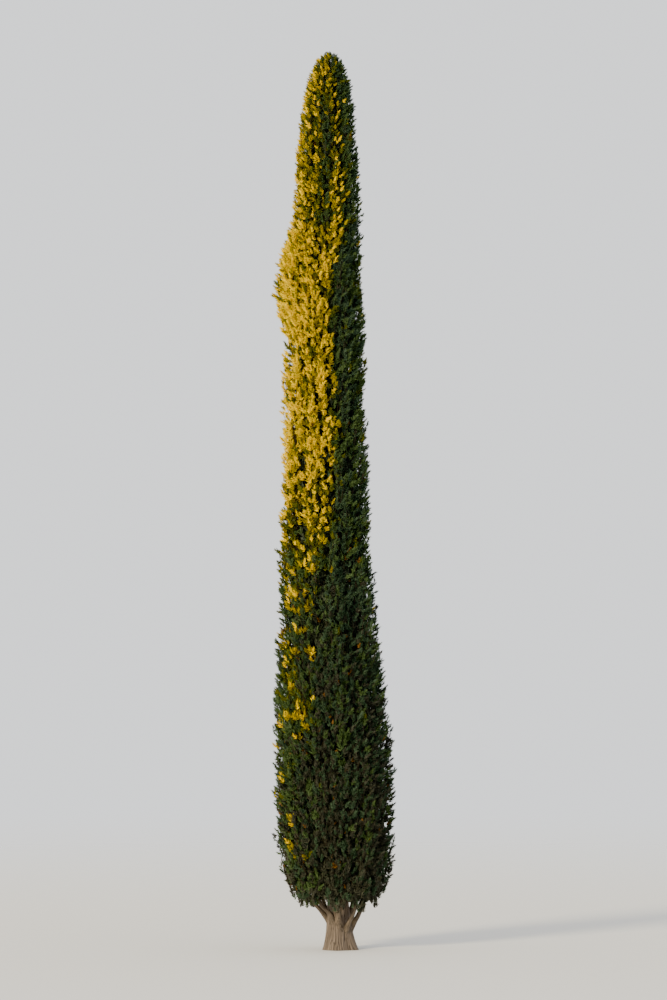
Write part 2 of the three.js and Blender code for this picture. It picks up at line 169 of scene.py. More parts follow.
# The foliage round the leading shoot
TIP_CORE_TOP = 19.25
TIP_CORE_SHARE = 0.44
TIP_CLEAR = 0.09
TIP_SPRAYS = 14
TIP_SPRAY_HEIGHTS = (17.7, 19.1)
TIP_SPRAY_SIZES = (0.7, 0.95)
TIP_TILTS = (0.14, 0.44)
LEADER = 0.56
LEADER_LEAFY = 0.86

# The finer limbs, which follow the source's
CURVE_STEPS = 60  # between two of the points that a limb bends through
BOUGH_STEPS = 60
BOUGH_SIDES = 24
BOUGH_RELIEF = 0.3
BOUGH_UNEVENNESS = 0.06
BOUGH_SWELL = 0.3  # where a bough leaves the trunk
BOUGH_SWELL_REACH = 0.12
LIMB_STEPS = 30
LIMB_SIDES = 8
BRANCH_POINTS = 9  # along the leading branch of a mass, above its limb
BRANCH_SIDES = 7
BRANCH_CLEAR = 0.24  # of the mass's tip, in levels
BRANCH_EASE = 0.3
BRANCH_WEAVE = 0.12
BRANCH_WAVES = 5
BRANCH_TIP = 0.006  # its radius at its tip
LEADER_RADIUS = 0.03
LEADER_POINTS = 8
LEADER_SINK = 0.05  # how far the leading stem starts below the trunk's top
LEADER_CLEAR = 0.2  # how far below the summit the leading stem ends
TWIG_SIDES = 3
TWIGS_OUTERMOST = 0.87  # the furthest that twigs reach, as a share of the crown's radius
FED_TWIG_TAPER = (1.2, 1.1, 1, 0.6, 0.25)
SIDE_TWIG_TAPER = (0.6, 0.4, 0.15)

# Where each kind of plume and tuft starts to count its seeds
COVER_SEEDS = 20000
TIP_SEEDS = 9000
TIP_COVER_SEEDS = 29000
LEADER_SEED = 9900
SKIN_SEEDS = 60000
TIP_SKIN_SEEDS = 99000
UNDER_SEEDS = 120000
DOME_SEEDS = 130000

# The bark
BARK_STRIPS = (  # how many round the trunk, their wander, its pace and their share of the relief
    (13, 0.5, 1.3, 0.4),
    (21, 0.7, 2.3, 0.3),
    (34, 0.9, 3.7, 0.2),
    (55, 1.1, 6.1, 0.1),
)
BARK_TWIST = 0.22  # radians for each metre up
BARK_SWAY = (0.5, 0.9)  # how far the twist comes and goes, and its pace
PLATE_PACE = 7
PLATE_DEPTH = 0.25
RIDGE_MIDDLE = 0.6
FULL_RELIEF_RADIUS = 0.2  # the trunk's radius below which its relief grows fainter
LEAST_RELIEF = 0.15
RING_GROWTH = 2.5  # brings the trunk's rings closer together at its foot
BOUGH_BARK = 6  # the metres of the trunk's pattern that a bough shows
TRUNK_FIBRES = 36.0
BOUGH_FIBRES = 60.0
LIMB_FIBRES = 90.0
TWIG_FIBRES = 140.0
TWIG_DARK = (0.025, 0.02, 0.014)
TWIG_LIGHT = (0.06, 0.046, 0.032)

# The plumes
PLUME_RISE = 0.1  # how far a plume bends up, as a share of its length
COVER_LEVELS = (0.07, 0.16)
COVER_SPREAD = 0.97
COVER_TIP_HEIGHTS = (17.3, TIP_CORE_TOP)
FEEDER_DROP = (0.25, 0.4)  # how far below a plume's foot its twig starts, and more for its length
TIP_FEEDER_DROP = (0.2, 0.0)
FEEDER_RISE = 0.3  # the lowest twigs start at least this far above the hem
TIP_STEM_FOOT = 16.2
CARRIER_POINTS = 12  # along what carries the twigs
SIDE_PLUMES = (  # where each leaves its plume, its lean, its share of the length, and its turn
    (0.22, 0.42, 0.5, 0.0),
    (0.2, 0.4, 0.48, 3.3),
    (0.34, 0.4, 0.44, 1.6),
    (0.42, 0.34, 0.4, 4.9),
)
SIDE_PLUME_REACH = 0.96
DEAD_SHARES = (0.006, 0.022)  # in all, and more round one height
DEAD_HEIGHT = 7.8
DEAD_REACH = 1.3

# The tufts, each a feathery spray: slender leaflets in a spiral up a stalk. Lengths are shares of the tuft's.
LEAFLETS = 28
INNER_LEAFLETS = 10
LEAFLET_STALK = 0.72  # how far up the stalk the last one grows
LEAFLET_LEANS = (0.95, 0.28)  # radians off the stalk, for the first and the last
LEAFLET_LENGTHS = (0.46, 0.3)
LEAFLET_WIDTH = 0.155  # half the width of a leaflet's foot, as a share of its length
INNER_LEAFLET_WIDTH = 0.36
LEAFLET_ROLL = 1.1
TEMPLATES = 8
MOST_TRIANGLES = 190000
TUFT_LEANS = (0.8, 0.5)  # radians off the twig, at its foot and its tip
TUFT_TAPER = (1.0, 0.8)
TUFT_STARTS = (0.2, 0.15)  # where the tufts of large and side plumes begin, as a share of the plume
SIDE_TUFT_SIZE = 0.9
# Tufts are lighter towards a plume's tip: partly the yellower new growth, partly painted light on the more
# exposed tips
TONE_RISE = 0.14  # from a plume's foot to its tip

# The crown's outline, as the foliage keeps it
HEM = 1.05  # the lowest foliage, on the whole
HEM_DIP = 0.22  # how far the fill reaches below it
HEM_WAVES = ((2, 0.07, 0.8), (COLUMNS, 0.14, -1.27), (21, 0.05, 2.0))  # count, depth and phase
HEM_CLEAR = 0.06  # the least between the hem and the plumes' feet
TWIG_HEM_CLEAR = 0.08
INNER_HEM_CLEAR = 0.12
DRAWN_IN = 0.12  # how unevenly the tips reach the outline, as a share of its radius
FOOT_ROUNDING = 0.2
FOOT_ROUNDING_HEIGHT = 1.0
DOME = 2.6  # how fast the summit falls away: metres down for each square metre off the axis
DOME_RADIUS = 0.55
DOME_DEPTH = 0.09
DOME_CLEAR = 0.03  # how far tips may stand out of the dome
DOME_TUFT_SIZES = (0.12, 0.17)
SUMMIT = 19.35  # where the tufts that go round the crown end
NEIGHBOUR_REACH = 0.15
FEWEST_NEIGHBOURS = 4  # a tuft with no more in reach, itself counted, is left out

# The fill: tufts between the plumes, where there is room
SKIN_LOWEST = 0.95
# Skin tufts are painted a little darker: painted shade between the plumes
SKIN_SHADE = 0.05
SKIN_LEVELS = (0.02, 0.06)
SKIN_FOOT_LEVEL = 0.08  # in the lowest tier
SKIN_FOOT_MORE = 1.5  # times as many tufts there
SKIN_SPREAD = 1.02
SKIN_SIZES = (0.14, 0.2)
SKIN_TIP_FOOT = 17.4
ROOM_REACH = 0.13
MOST_IN_ROOM = 5
UNDER_REACHES = (0.68, 0.86)
UNDER_SIZES = (0.17, 0.24)
UNDER_NARROWING = (5.0, 0.7)  # how far below the summit it starts, and the least size as a share
LOW_UNDER_SHARE = 0.18
LOW_UNDER_TOP = 6.5
LOW_UNDER_REACHES = (0.7, 0.88)
BULGE_SHARE = 0.05
BULGE_HEIGHTS = (13.4, 15.6)
BULGE_REACHES = (0.72, 0.92)
BULGE_SPREAD = 1.1
INNER_SIZE = 0.21  # as a share of the crown's radius
INNER_SIZES = (0.85, 1.2)
INNER_TOP = 19.3
INNER_REACHES = (0.25, 0.6)
LOW_INNER_SHARE = 0.12
LOW_INNER_TOP = 3.5
LOW_INNER_REACHES = (0.3, 0.64)

# The rounded clumps that the tufts gather in, with gaps between them that lie back and have painted shade
CLUMPS = 4200
CLUMP_REACH = 0.93
CLUMP_JITTER = 0.06
CLUMP_EDGE = 0.065
CLUMP_DEPTH = 0.07  # how far the tufts in the gaps lie back
CLUMP_ROUNDING = 0.6
UPRIGHT = 0.12
CLUMP_BASE = 0.12  # how far behind a clump's middle the point lies that its tufts fan out from
# How much darker the tufts in the gaps are painted: painted shade
GAP_SHADE = 0.55
CLUMP_TONES = 0.36

# The colours of the foliage, dealt by tone, which paints sunlight and shade into them: from 0 for the deepest
# painted shade to 1 for gold, painted full sun
FOLIAGE = ("deep", "green", "olive", "tawny", "gold", "brown", "dusky")
BROWN = FOLIAGE.index("brown")
DUSKY = FOLIAGE.index("dusky")
TONE_LIMITS = (0.2, 0.4, 0.58, 0.76)  # between the first five of them
FINE_FINISH = (0.22, 0.6)  # how much the shades vary, and the roughness
COARSE_FINISH = (0.2, 0.75)

# Painted sunlight and shade: where the foliage's colour is made sunned and golden, or shaded and deep green,
# by side and by height, darker low down
SUNNY_SIDE = (0.85, 0.53)  # the way that the sunlight travels over the ground
SUNNED_HEIGHTS = (1.0, 5.0, 7.0, 8.5, 10.5, 15.0, 16.5, 18.0, 19.6)
SUNNED_TONES = (0.2, 0.33, 0.33, 0.66, 1.22, 1.0, 0.84, 0.77, 0.7)
SHADED_HEIGHTS = (1.0, 7.0, 10.0, 17.0, 19.6)
SHADED_TONES = (0.14, 0.18, 0.3, 0.3, 0.25)
SHADE_EDGE_HEIGHTS = (7.2, 9.6, 13.4, 14.4, 15.4, 18.2, 19.2)
SHADE_EDGES = (0.8, 0.28, 0.32, 0.42, 0.06, 0.0, 0.3)  # how far towards the sun a sunned side must face
SHADE_BLUR = 0.3
# The groove's shade is painted into the foliage's colour
GROOVE_SIDE = -1.62  # the shaded groove down the front, below the tip
GROOVE_WIDTH = 0.24
GROOVE_HEIGHTS = (15.1, 15.9, 17.8, 18.6)
GROOVE_SHADE = 0.45
# Streaks: painted sunlight on a few plumes
STREAKS = 0.04  # share of the plumes that catch more sun than those round them
STREAK_TONE = 0.42
STREAK_HEIGHTS = (4.5, 8.0)
# Bands of painted sunlight: the heights that each fades in and out over, its directions, width and strength
GLEAMS = (
    ((4.6, 5.1, 6.3, 6.9), (-2.0, -2.95), 0.15, 0.6),
    ((15.0, 15.6, 17.4, 18.2), (-1.03, -1.12), 0.17, 0.34),
)
# Glints: painted sunlight on single clumps
GLINT_HEIGHTS = (1.0, 5.0, 8.0, 9.0)  # single clumps that catch the sun on the low left flank
GLINT_SHARES = (0.03, 0.05, 0.09, 0.0)
GLINT = 0.6
# The ropes' tone paints light on their ridges and shade in their grooves, besides setting the grooves back
ROPES = ((11, 0.6, 0.07), (17, 1.1, 0.05))  # upright ropes: how many round, sway and difference in tone
ROPE_RELIEF = 0.4  # how far the ropes stand out, in metres for each unit of tone
PATCHES = 0.06  # how uneven the tone is from place to place
MOTTLE = 0.18  # and from plume to plume
# Low down, a share of the deep tufts is dusky: more painted shade on the lower crown
DUSKY_HEIGHTS = (1.0, 4.0, 9.0)
DUSKY_SHARES = (0.75, 0.6, 0.0)
AMBER_HEIGHTS = (1.0, 2.0, 4.5, 6.0, 9.0)  # small dead tufts, most of them low down
AMBER_SHARES = (0.006, 0.018, 0.018, 0.006, 0.0)
AMBER_SIZE = 0.6

# The stage
FLOOR_SIDES = 96
FLOOR_DROP = 0.002
FLOOR_FADE = (8.0, 0.9)  # where it starts, in metres, and where it ends, as a share of the floor
KEY_DIRECTION = (0.68, 0.88, -0.42)
KEY_SPREAD = math.radians(12)
LOOK = "AgX - Punchy"
SENSOR_WIDTH = 36.0
TREE_IN_VIEW = 0.9  # how much of the picture's height the tree takes up
FURTHEST_SEEN = 1000.0


def chance(count, purpose):
    """A repeatable number from 0 to 1 for each whole number and purpose."""
    wave = np.sin(np.asarray(count, float) * 127.1 + purpose * 311.7) * 43758.5453
    return wave - np.floor(wave)


def swung(width, count, purpose):
    """A repeatable number within half a width of 0."""
    return width * (chance(count, purpose) - 0.5)


def between(low, high, share):
    return low + (high - low) * np.asarray(share)


def hump(value, middle, reach):
    """1 at the middle, falling smoothly to 0 on both sides."""
    return np.exp(-(((value - middle) / reach) ** 2))


def faded(value, stops):
    """Rises from 0 to 1 between the first two stops, and falls to 0 between the last two."""
    return np.interp(value, stops, (0, 1, 1, 0))


def eased(share):
    """A smooth step from 0 to 1."""
    share = np.clip(share, 0, 1)
    return share * share * (3 - 2 * share)


def only(columns, kept):
    return tuple(column[kept] for column in columns)


def stacked(sets):
    """Several sets of columns as one."""
    return tuple(np.concatenate(column) for column in zip(*sets))


def unit(vectors):
    return vectors / np.maximum(np.linalg.norm(vectors, axis=-1, keepdims=True), 1e-12)


def flat_vector(radius, angle):
    radius, angle = np.broadcast_arrays(radius, angle)
    return np.stack([radius * np.cos(angle), radius * np.sin(angle), 0 * angle], -1)


def ring_angles(sides):
    return np.arange(sides) / sides * FULL_TURN


def axis_at(height):
    """The centre line that trunk and crown share."""
    height = np.asarray(height, float)
    share = np.clip(height / TREE_HEIGHT, 0, 1)
    bulge = np.sin(np.pi * share)
    return np.stack([TIP_LEAN * share + BOW * bulge, BOW_BACK * bulge, height], -1)


def off_axis(points):
    """How points lie off the centre line: level offsets and the directions round it."""
    off = (points - axis_at(points[..., 2])) * [1, 1, 0]
    return off, np.arctan2(off[..., 1], off[..., 0])


def crown_radius(height, angle):
    """The outline's radius at a height and a direction round the axis."""
    down = np.clip((TREE_HEIGHT - height) / TREE_HEIGHT, 0, 1)
    near = 1 - np.clip((height - CROWN_FOOT) / FOOT_DRAW_HEIGHT, 0, 1)
    fuller = SKIRT * hump(height, SKIRT_HEIGHT, SKIRT_REACH)
    swell = BULGE * hump(height, BULGE_HEIGHT, BULGE_REACH)
    swell = swell * np.maximum(0, -np.cos(angle)) ** 3
    slow, slower = height / LUMP_HEIGHTS[0], height / LUMP_HEIGHTS[1]
    lumps = LUMPS * np.sin(2 * angle + slow) * np.cos(3 * angle - slower)
    drawn = 1 - FOOT_DRAW * near * near
    return CROWN_RADIUS * down**CROWN_TAPER * drawn * (1 + fuller + swell + lumps)


def trunk_radius(height, angle=0.0):
    lobes = 1 + sum(depth * np.cos(count * angle + phase) for count, depth, phase in FLARE_LOBES)
    flare = FLARE * np.exp(-height / FLARE_HEIGHT) * lobes
    return TRUNK_RADIUS * np.clip(1 - height / TRUNK_POINT, 0, 1) ** TRUNK_TAPER + flare


def unevenness(turn, tier):
    """How unevenly the plan lies: its swing round the trunk and its rise."""
    angle = FULL_TURN / COLUMNS * turn
    swing = TWIST * tier + WANDER * np.sin(2 * angle + 1.7 * tier)
    heave = HEAVE * np.sin(3 * angle + 2.1 * tier) * np.clip(HEAVE_AT_FOOT + tier, 0, 1)
    return swing, heave


def place(turn, tier, reach):
    """A point of the crown from its turn, its tier and its reach, 0 at the axis and 1 at the outline."""
    turn, tier, reach = np.broadcast_arrays(turn, tier, reach)
    swing, heave = unevenness(turn, tier)
    angle = FULL_TURN / COLUMNS * turn + swing
    start = CROWN_FOOT + TIER_PITCH * tier + heave
    climb = CLIMB * np.clip((start - CROWN_FOOT) / CLIMB_BUILDS_OVER, 0, 1)
    height = np.minimum(start + climb * reach, TREE_HEIGHT)
    return axis_at(height) + flat_vector(reach * crown_radius(height, angle), angle)


def plan_of(points):
    """The turn, tier and reach of points: the reverse of place."""
    height = points[..., 2]
    off, angle = off_axis(points)
    wide = np.maximum(crown_radius(height, angle), 0.001)
    reach = np.hypot(off[..., 0], off[..., 1]) / wide
    start = height - CLIMB * reach
    rate = CLIMB / CLIMB_BUILDS_OVER * reach
    low = np.minimum(height, (height + rate * CROWN_FOOT) / (1 + rate))
    start = np.where(start < CROWN_FOOT + CLIMB_BUILDS_OVER, low, start)
    turn = angle * COLUMNS / FULL_TURN
    tier = (start - CROWN_FOOT) / TIER_PITCH
    for _ in range(SETTLING_PASSES):
        swing, heave = unevenness(turn, tier)
        turn = (angle - swing) * COLUMNS / FULL_TURN
        tier = (start - CROWN_FOOT - heave) / TIER_PITCH
    return turn, tier, reach


class MassSpace:
    """The space of one mass in a tier. Level is counted up the crown, and side is -1 to 1 across the mass."""

    def __init__(self, tier, column):
        self.tier = tier
        self.lowest = tier == 0
        self.centre = column + (tier % 2) / 2
        self.low = 0 if self.lowest else tier - LAP / 2
        self.high = tier + 1 + LAP / 2
        self.seed = 10 * tier + column
        self.name = f"foliage_{tier + 1}_{column + 1}"

    def half_width(self, level):
        level = np.asarray(level, float)
        foot = FOOT_WIDTH + FOOT_WIDENING * level if self.lowest else (level - self.low) / LAP
        widest = np.minimum(np.minimum(1, foot), (self.high - level) / LAP)
        return np.maximum(0, 0.5 * widest - SEAM)

    def outer(self, level, side):
        foot = 1 - np.clip((level - self.low) / SHOULDER_RUN, 0, 1)
        tip = 1 - np.clip((self.high - level) / TUCK_RUN, 0, 1)
        shoulder = 0 if self.lowest else SHOULDER * foot * foot
        return (1 - SEAM_DIP * side * side) * (1 - shoulder) * (1 - TUCK * tip * tip)

    def inner(self, level):
        leaves = self.tier + HEART_START
        height = CROWN_FOOT + TIER_PITCH * np.maximum(level, 0)
        tip = np.clip((level - leaves) / (self.high - leaves), 0, 1)
        clear = (trunk_radius(height) + TRUNK_CLEAR) / crown_radius(height, 0)
        return clear + (HEART - clear) * tip

    def holds(self, points):
        turn, tier, reach = plan_of(points)
        lapped = turn - self.centre
        aside = np.abs(lapped - COLUMNS * np.round(lapped / COLUMNS))
        half = self.half_width(tier)
        side = np.where(half > 0, aside / (half + SEAM), 0)
        within = (tier >= self.low) & (tier <= self.high) & (aside <= half)
        return within & (reach <= self.outer(tier, side)) & (reach >= self.inner(tier))


class TipSpace:
    """The space of the tip: between the highest masses, and above them out to the outline."""

    seed = 900
    name = "foliage_tip"

    def __init__(self, around):
        self.around = around

    def limit(self, height):
        reach = np.full(np.shape(height), TIP_CORE_SHARE)
        for _ in range(SETTLING_PASSES):
            level = (height - CLIMB * reach - CROWN_FOOT) / TIER_PITCH
            free = np.where(level > self.around.high, 1, self.around.inner(level) - TIP_CLEAR)
            reach = reach + (free - reach) * SETTLING_STEP
        return reach

    def holds(self, points):
        turn, tier, reach = plan_of(points)
        lapped = turn - self.around.centre
        aside = np.abs(lapped - np.round(lapped))
        beside = aside > self.around.half_width(tier) + 2 * SEAM
        inside = reach < self.around.inner(tier) - TIP_CLEAR / 2
        above = (points[..., 2] <= TREE_HEIGHT) & (reach <= 1) & (tier > self.around.high - LAP)
        return above & (beside | inside)

    def seat(self, height, angle):
        radius = np.minimum(TIP_CORE_SHARE, self.limit(height)) * crown_radius(height, angle)
        return axis_at(height) + flat_vector(radius, angle)


def mass_spaces():
    return [MassSpace(tier, column) for tier in range(TIERS) for column in range(COLUMNS)]


def tip_space():
    return TipSpace(MassSpace(TIERS - 1, 0))


def mass_names():
    return [space.name for space in mass_spaces()] + [TipSpace.name]


def spray_frames(outwards, tilt, sway, roll):
    """Headings and width directions from the directions that sprays lean in, their tilt and their roll."""
    tilt, sway, roll = (np.reshape(angle, (-1, 1)) for angle in (tilt, sway, roll))
    sideways = np.stack([-outwards[:, 1], outwards[:, 0], 0 * outwards[:, 0]], -1)
    heading = unit(UP * np.cos(tilt) + outwards * np.sin(tilt) + sideways * sway)
    across = unit(np.cross(heading, outwards))
    return heading, across * np.cos(roll) + np.cross(heading, across) * np.sin(roll)


def spray_points(root, heading, across, length):
    """The points of sprays that must lie in the mass's space: corners and the middles between them."""
    length = length[:, None]
    width = SPRAY_WIDTH * length / SPRAY_LENGTH
    rise = SPRAY_THICKNESS / 2 * length / SPRAY_LENGTH
    outline = [root + heading * along * length + across * aside * width for along, aside in SPRAY_OUTLINE]
    face = np.cross(heading, across)
    middle = root + heading * SPRAY_MIDDLE * length
    ends = [middle + face * rise, middle - face * rise, outline[SPRAY_TIP]]
    corners = [*outline[1:], *ends[:2]]
    middles = [(corner + end) / 2 for corner in corners for end in ends]
    return np.stack([*corners, *middles], 1)


def fitted_lengths(space, seat, heading, across, full):
    """Each spray's length: the largest share of its full size that the space holds, or 0."""
    fitted = np.zeros(len(full))
    for share in SPRAY_FITS:
        length = share * full
        root = seat - heading * SPRAY_SINK * length[:, None]
        fits = space.holds(spray_points(root, heading, across, length)).all(1)
        fitted = np.where((fitted == 0) & fits, length, fitted)
    return fitted


def seated_sprays(space, count, seeds, levels, spread, full_length):
    """Sprays that climb a mass's core in a golden spiral, by the source's rule."""
    i = np.arange(count)
    seed = seeds + i
    up = (i + chance(seed, 1)) / count
    side = 2 * spread * ((i * GOLDEN + chance(space.seed, 2)) % 1 - 0.5)
    level = between(space.low + levels[0], space.high - levels[1], up)
    cover = space.outer(level, side) - CORE_COVER * (1 + side * side)
    turn = space.centre + side * CORE_WIDTH * space.half_width(level)
    seat = place(turn, level, np.maximum(cover, space.inner(level)))
    outwards = unit(seat - axis_at(seat[:, 2]))
    tilt = between(*SPRAY_TILTS, chance(seed, 3)) * (1 - SPRAY_STRAIGHTENING * up)
    sway = swung(SPRAY_SWAY, seed, 4) + SPRAY_FAN * side
    heading, across = spray_frames(outwards, tilt, sway, SPRAY_ROLL * (2 * chance(seed, 5) - 1))
    slender = crown_radius(seat[:, 2], 0) / CROWN_RADIUS
    full = full_length * slender * between(*SPRAY_SIZES, chance(seed, 6))
    return seat, heading, across, full


def tip_sprays(space, count, seeds, heights, full_length):
    """The tip's sprays climb its core in a golden spiral."""
    i = np.arange(count)
    seed = seeds + i
    angle = FULL_TURN * GOLDEN * i
    seat = space.seat(between(*heights, (i + 0.5) / count), angle)
    roll = SPRAY_ROLL * (2 * chance(seed, 5) - 1)
    tilt = between(*TIP_TILTS, chance(seed, 3))
    heading, across = spray_frames(flat_vector(1.0, angle), tilt, 0 * angle, roll)
    return seat, heading, across, full_length * between(*TIP_SPRAY_SIZES, chance(seed, 6))


def interpolated(wanted, steps, points):
    return np.stack([np.interp(wanted, steps, points[:, k]) for k in range(3)], -1)


def lengths_along(path):
    """How far along a path each of its points lies."""
    return np.concatenate([[0], np.cumsum(np.linalg.norm(np.diff(path, axis=0), axis=1))])


def smooth_curve(points, count):
    """Points at equal steps along the centripetal curve through a few points, as in the source."""
    points = np.asarray(points, float)
    extended = np.vstack([2 * points[0] - points[1], points, 2 * points[-1] - points[-2]])
    run = []
    for p0, p1, p2, p3 in zip(extended, extended[1:], extended[2:], extended[3:]):
        d0, d1, d2 = (max(np.linalg.norm(b - a), 1e-8) ** 0.5 for a, b in ((p0, p1), (p1, p2), (p2, p3)))
        start = ((p1 - p0) / d0 - (p2 - p0) / (d0 + d1) + (p2 - p1) / d1) * d1
        end = ((p2 - p1) / d1 - (p3 - p1) / (d1 + d2) + (p3 - p2) / d2) * d1
        t = np.linspace(0, 1, CURVE_STEPS, endpoint=False)[:, None]
        bent = (-3 * p1 + 3 * p2 - 2 * start - end) * t**2 + (2 * p1 - 2 * p2 + start + end) * t**3
        run.append(p1 + start * t + bent)
    run = np.vstack([*run, points[-1:]])
    steps = lengths_along(run)
    return interpolated(np.linspace(0, steps[-1], count), steps, run)


def limb_points(space):
    """The points that a mass's limb bends through, from inside the trunk to the middle of the mass's core."""
    lowest = space.lowest
    heel_level, heel_reach = BOUGH_HEEL if lowest else STEM_HEEL
    end_level, end_reach = BOUGH_END if lowest else STEM_END
    heel = place(space.centre, space.low + heel_level, heel_reach)
    core = place(space.centre, space.low + end_level, end_reach)
    axis = axis_at(core[2])
    angle = math.atan2(heel[1] - axis[1], heel[0] - axis[0])
    if lowest:
        start = BOUGH_START + BOUGH_SPREAD * float(chance(space.seed, 7))
    else:
        start = heel[2] - STEM_DROP - STEM_DROP_SHARE * trunk_radius(heel[2])
    root = axis_at(start) + flat_vector(trunk_radius(start) / 2, angle)
    if not lowest:
        return [root, heel, core]
    elbow = axis_at(start + BOUGH_RISE) + flat_vector(trunk_radius(start) + BOUGH_OUTSET, angle)
    return [root, elbow, heel, core]


def limb_radii(space, count):
    """A limb's radius at equal steps along it."""
    along = np.linspace(0, 1, count)
    thickness = BOUGH_RADIUS if space.lowest else STEM_RADIUS * (1 - STEM_SLIMMING * space.tier)
    return thickness * (1 + COLLAR * np.exp(-along / COLLAR_REACH)) * (1 - LIMB_TAPER * along)


def leading_branch(space):
    """The branch that carries a mass's limb on, up through the middle of the mass."""
    start = space.low + (BOUGH_END if space.lowest else STEM_END)[0]
    level = np.linspace(start, space.high - BRANCH_CLEAR, BRANCH_POINTS)
    middle = (space.inner(level) + space.outer(level, 0) - CORE_COVER) / 2
    ease = np.clip((level - start) / BRANCH_EASE, 0, 1)
    weave = BRANCH_WEAVE * space.half_width(level) * np.sin(BRANCH_WAVES * level + space.seed)
    return place(space.centre + weave * ease, level, 0.5 + (middle - 0.5) * ease)


def frames_along(paths):
    """Two directions square to each path at each of its points."""
    heading = unit(np.gradient(paths, axis=1))
    run = paths[:, -1] - paths[:, 0]
    sideways = np.stack([-run[:, 1], run[:, 0], 0 * run[:, 0]], -1)
    plain = np.linalg.norm(sideways, axis=1, keepdims=True) < 1e-3
    sideways = unit(np.where(plain, [[1.0, 0.0, 0.0]], sideways))[:, None, :]
    over = unit(np.cross(sideways, heading))
    return over, np.cross(heading, over)


def walls(rings, sides):
    """The triangles between rings of points."""
    k, s = np.meshgrid(np.arange(rings - 1), np.arange(sides), indexing="ij")
    a = (k * sides + s).ravel()
    b = (k * sides + (s + 1) % sides).ravel()
    return np.concatenate([np.stack([a, b, b + sides], 1), np.stack([a, b + sides, a + sides], 1)])


def fan(ring, middle):
    """The triangles between a ring and the point in its middle."""
    return np.stack([ring, np.roll(ring, -1), np.full(len(ring), middle)], 1)


def repeated(faces, copies, points):
    """The faces of many copies that each have a number of points."""
    return (faces[None] + np.arange(copies)[:, None, None] * points).reshape(-1, 3)


def tubes(paths, radii, sides):
    """Tapering round tubes along paths, and the triangles between their rings."""
    count, steps = paths.shape[:2]
    over, across = frames_along(paths)
    angle = ring_angles(sides)[:, None]
    ring = over[:, :, None] * np.sin(angle) + across[:, :, None] * np.cos(angle)
    points = paths[:, :, None] + ring * radii[:, :, None, None]
    return points.reshape(-1, 3), repeated(walls(steps, sides), count, steps * sides)


def joined(parts):
    """One set of points and triangles from several."""
    points, faces, start = [], [], 0
    for part_points, part_faces in parts:
        points.append(part_points)
        faces.append(part_faces + start)
        start += len(part_points)
    return np.concatenate(points), np.concatenate(faces)


def mesh_object(name, points, faces, material, smooth=True, grain=None):
    """A new piece. Its grain, if any, is each point's place in bark that is laid out straight."""
    mesh = bpy.data.meshes.new(name)
    mesh.vertices.add(len(points))
    mesh.vertices.foreach_set("co", np.ascontiguousarray(points, np.float32).ravel())
    mesh.loops.add(faces.size)
    mesh.loops.foreach_set("vertex_index", np.ascontiguousarray(faces, np.int32).ravel())
    mesh.polygons.add(len(faces))
    mesh.polygons.foreach_set("loop_start", np.arange(0, faces.size, 3, dtype=np.int32))
    mesh.polygons.foreach_set("use_smooth", np.full(len(faces), smooth))
    mesh.update(calc_edges=True)
    if grain is not None:
        laid = mesh.attributes.new("grain", "FLOAT_VECTOR", "POINT")
        laid.data.foreach_set("vector", np.ascontiguousarray(grain, np.float32).ravel())
    mesh.materials.append(material)
    piece = bpy.data.objects.new(name, mesh)
    bpy.context.scene.collection.objects.link(piece)
    return piece


def dressed(piece, nodes):
    """Puts a finished piece on the frame in place of the nodes that it stands for."""
    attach(piece, BODY)
    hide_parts(*nodes)


# Finishes


def blank_material(name):
    material = bpy.data.materials.new(name)
    material.use_nodes = True
    tree = material.node_tree
    return material, tree, tree.nodes["Principled BSDF"]


def feed(tree, node, inputs):
    """Sets inputs of a shader node to values, or links them to outputs of other nodes."""
    for key, value in inputs.items():
        if isinstance(value, bpy.types.NodeSocket):
            tree.links.new(value, node.inputs[key])
        else:
            node.inputs[key].default_value = value


def add_node(tree, kind, output, inputs=None, **options):
    """One output of a new shader node, whose inputs and options are set."""
    node = tree.nodes.new("ShaderNode" + kind)
    for option, value in options.items():
        setattr(node, option, value)
    feed(tree, node, inputs or {})
    return node.outputs[output]


def ramp(tree, share, *stops):
    """The colour of a ramp with (position, colour) stops."""
    node = tree.nodes.new("ShaderNodeValToRGB")
    elements = node.color_ramp.elements
    while len(elements) < len(stops):
        elements.new(1.0)
    for element, (position, color) in zip(elements, stops):
        element.position = position
        element.color = (*color, 1.0)
    feed(tree, node, {"Fac": share})
    return node.outputs["Color"]


def mixed_colors(tree, way, share, first, second):
    """Two colours mixed. The numbers are those of the node's sockets for colours."""
    inputs = {"Factor": share, 6: first, 7: second}
    return add_node(tree, "Mix", 2, inputs, data_type="RGBA", blend_type=way)


def shaded(color, factor):
    return tuple(min(1.0, channel * factor) for channel in color)


def foliage_material(name, color, variety, roughness):
    """Scale-leaved sprays: close shades of one colour, with the fine bumps of the scale leaves."""
    material, tree, shader = blank_material(name)
    where = add_node(tree, "TexCoord", "Object")
    cloudy = {"Vector": where, "Scale": 7.0, "Detail": 3.0, "Roughness": 0.6}
    drift = add_node(tree, "TexNoise", "Fac", cloudy)
    darker, lighter = shaded(color, 1 - variety), shaded(color, 1 + variety)
    scales = add_node(tree, "TexVoronoi", "Distance", {"Vector": where, "Scale": 210.0})
    bumps = {"Height": scales, "Strength": 0.35, "Distance": 0.003}
    gloss = {"Value": drift, "To Min": roughness - 0.1, "To Max": roughness + 0.12}
    finish = {
        "Base Color": ramp(tree, drift, (0.32, darker), (0.52, color), (0.7, lighter)),
        "Normal": add_node(tree, "Bump", "Normal", bumps),
        "Roughness": add_node(tree, "MapRange", "Result", gloss),
        "Specular IOR Level": 0.05,
    }
    feed(tree, shader, finish)
    return material


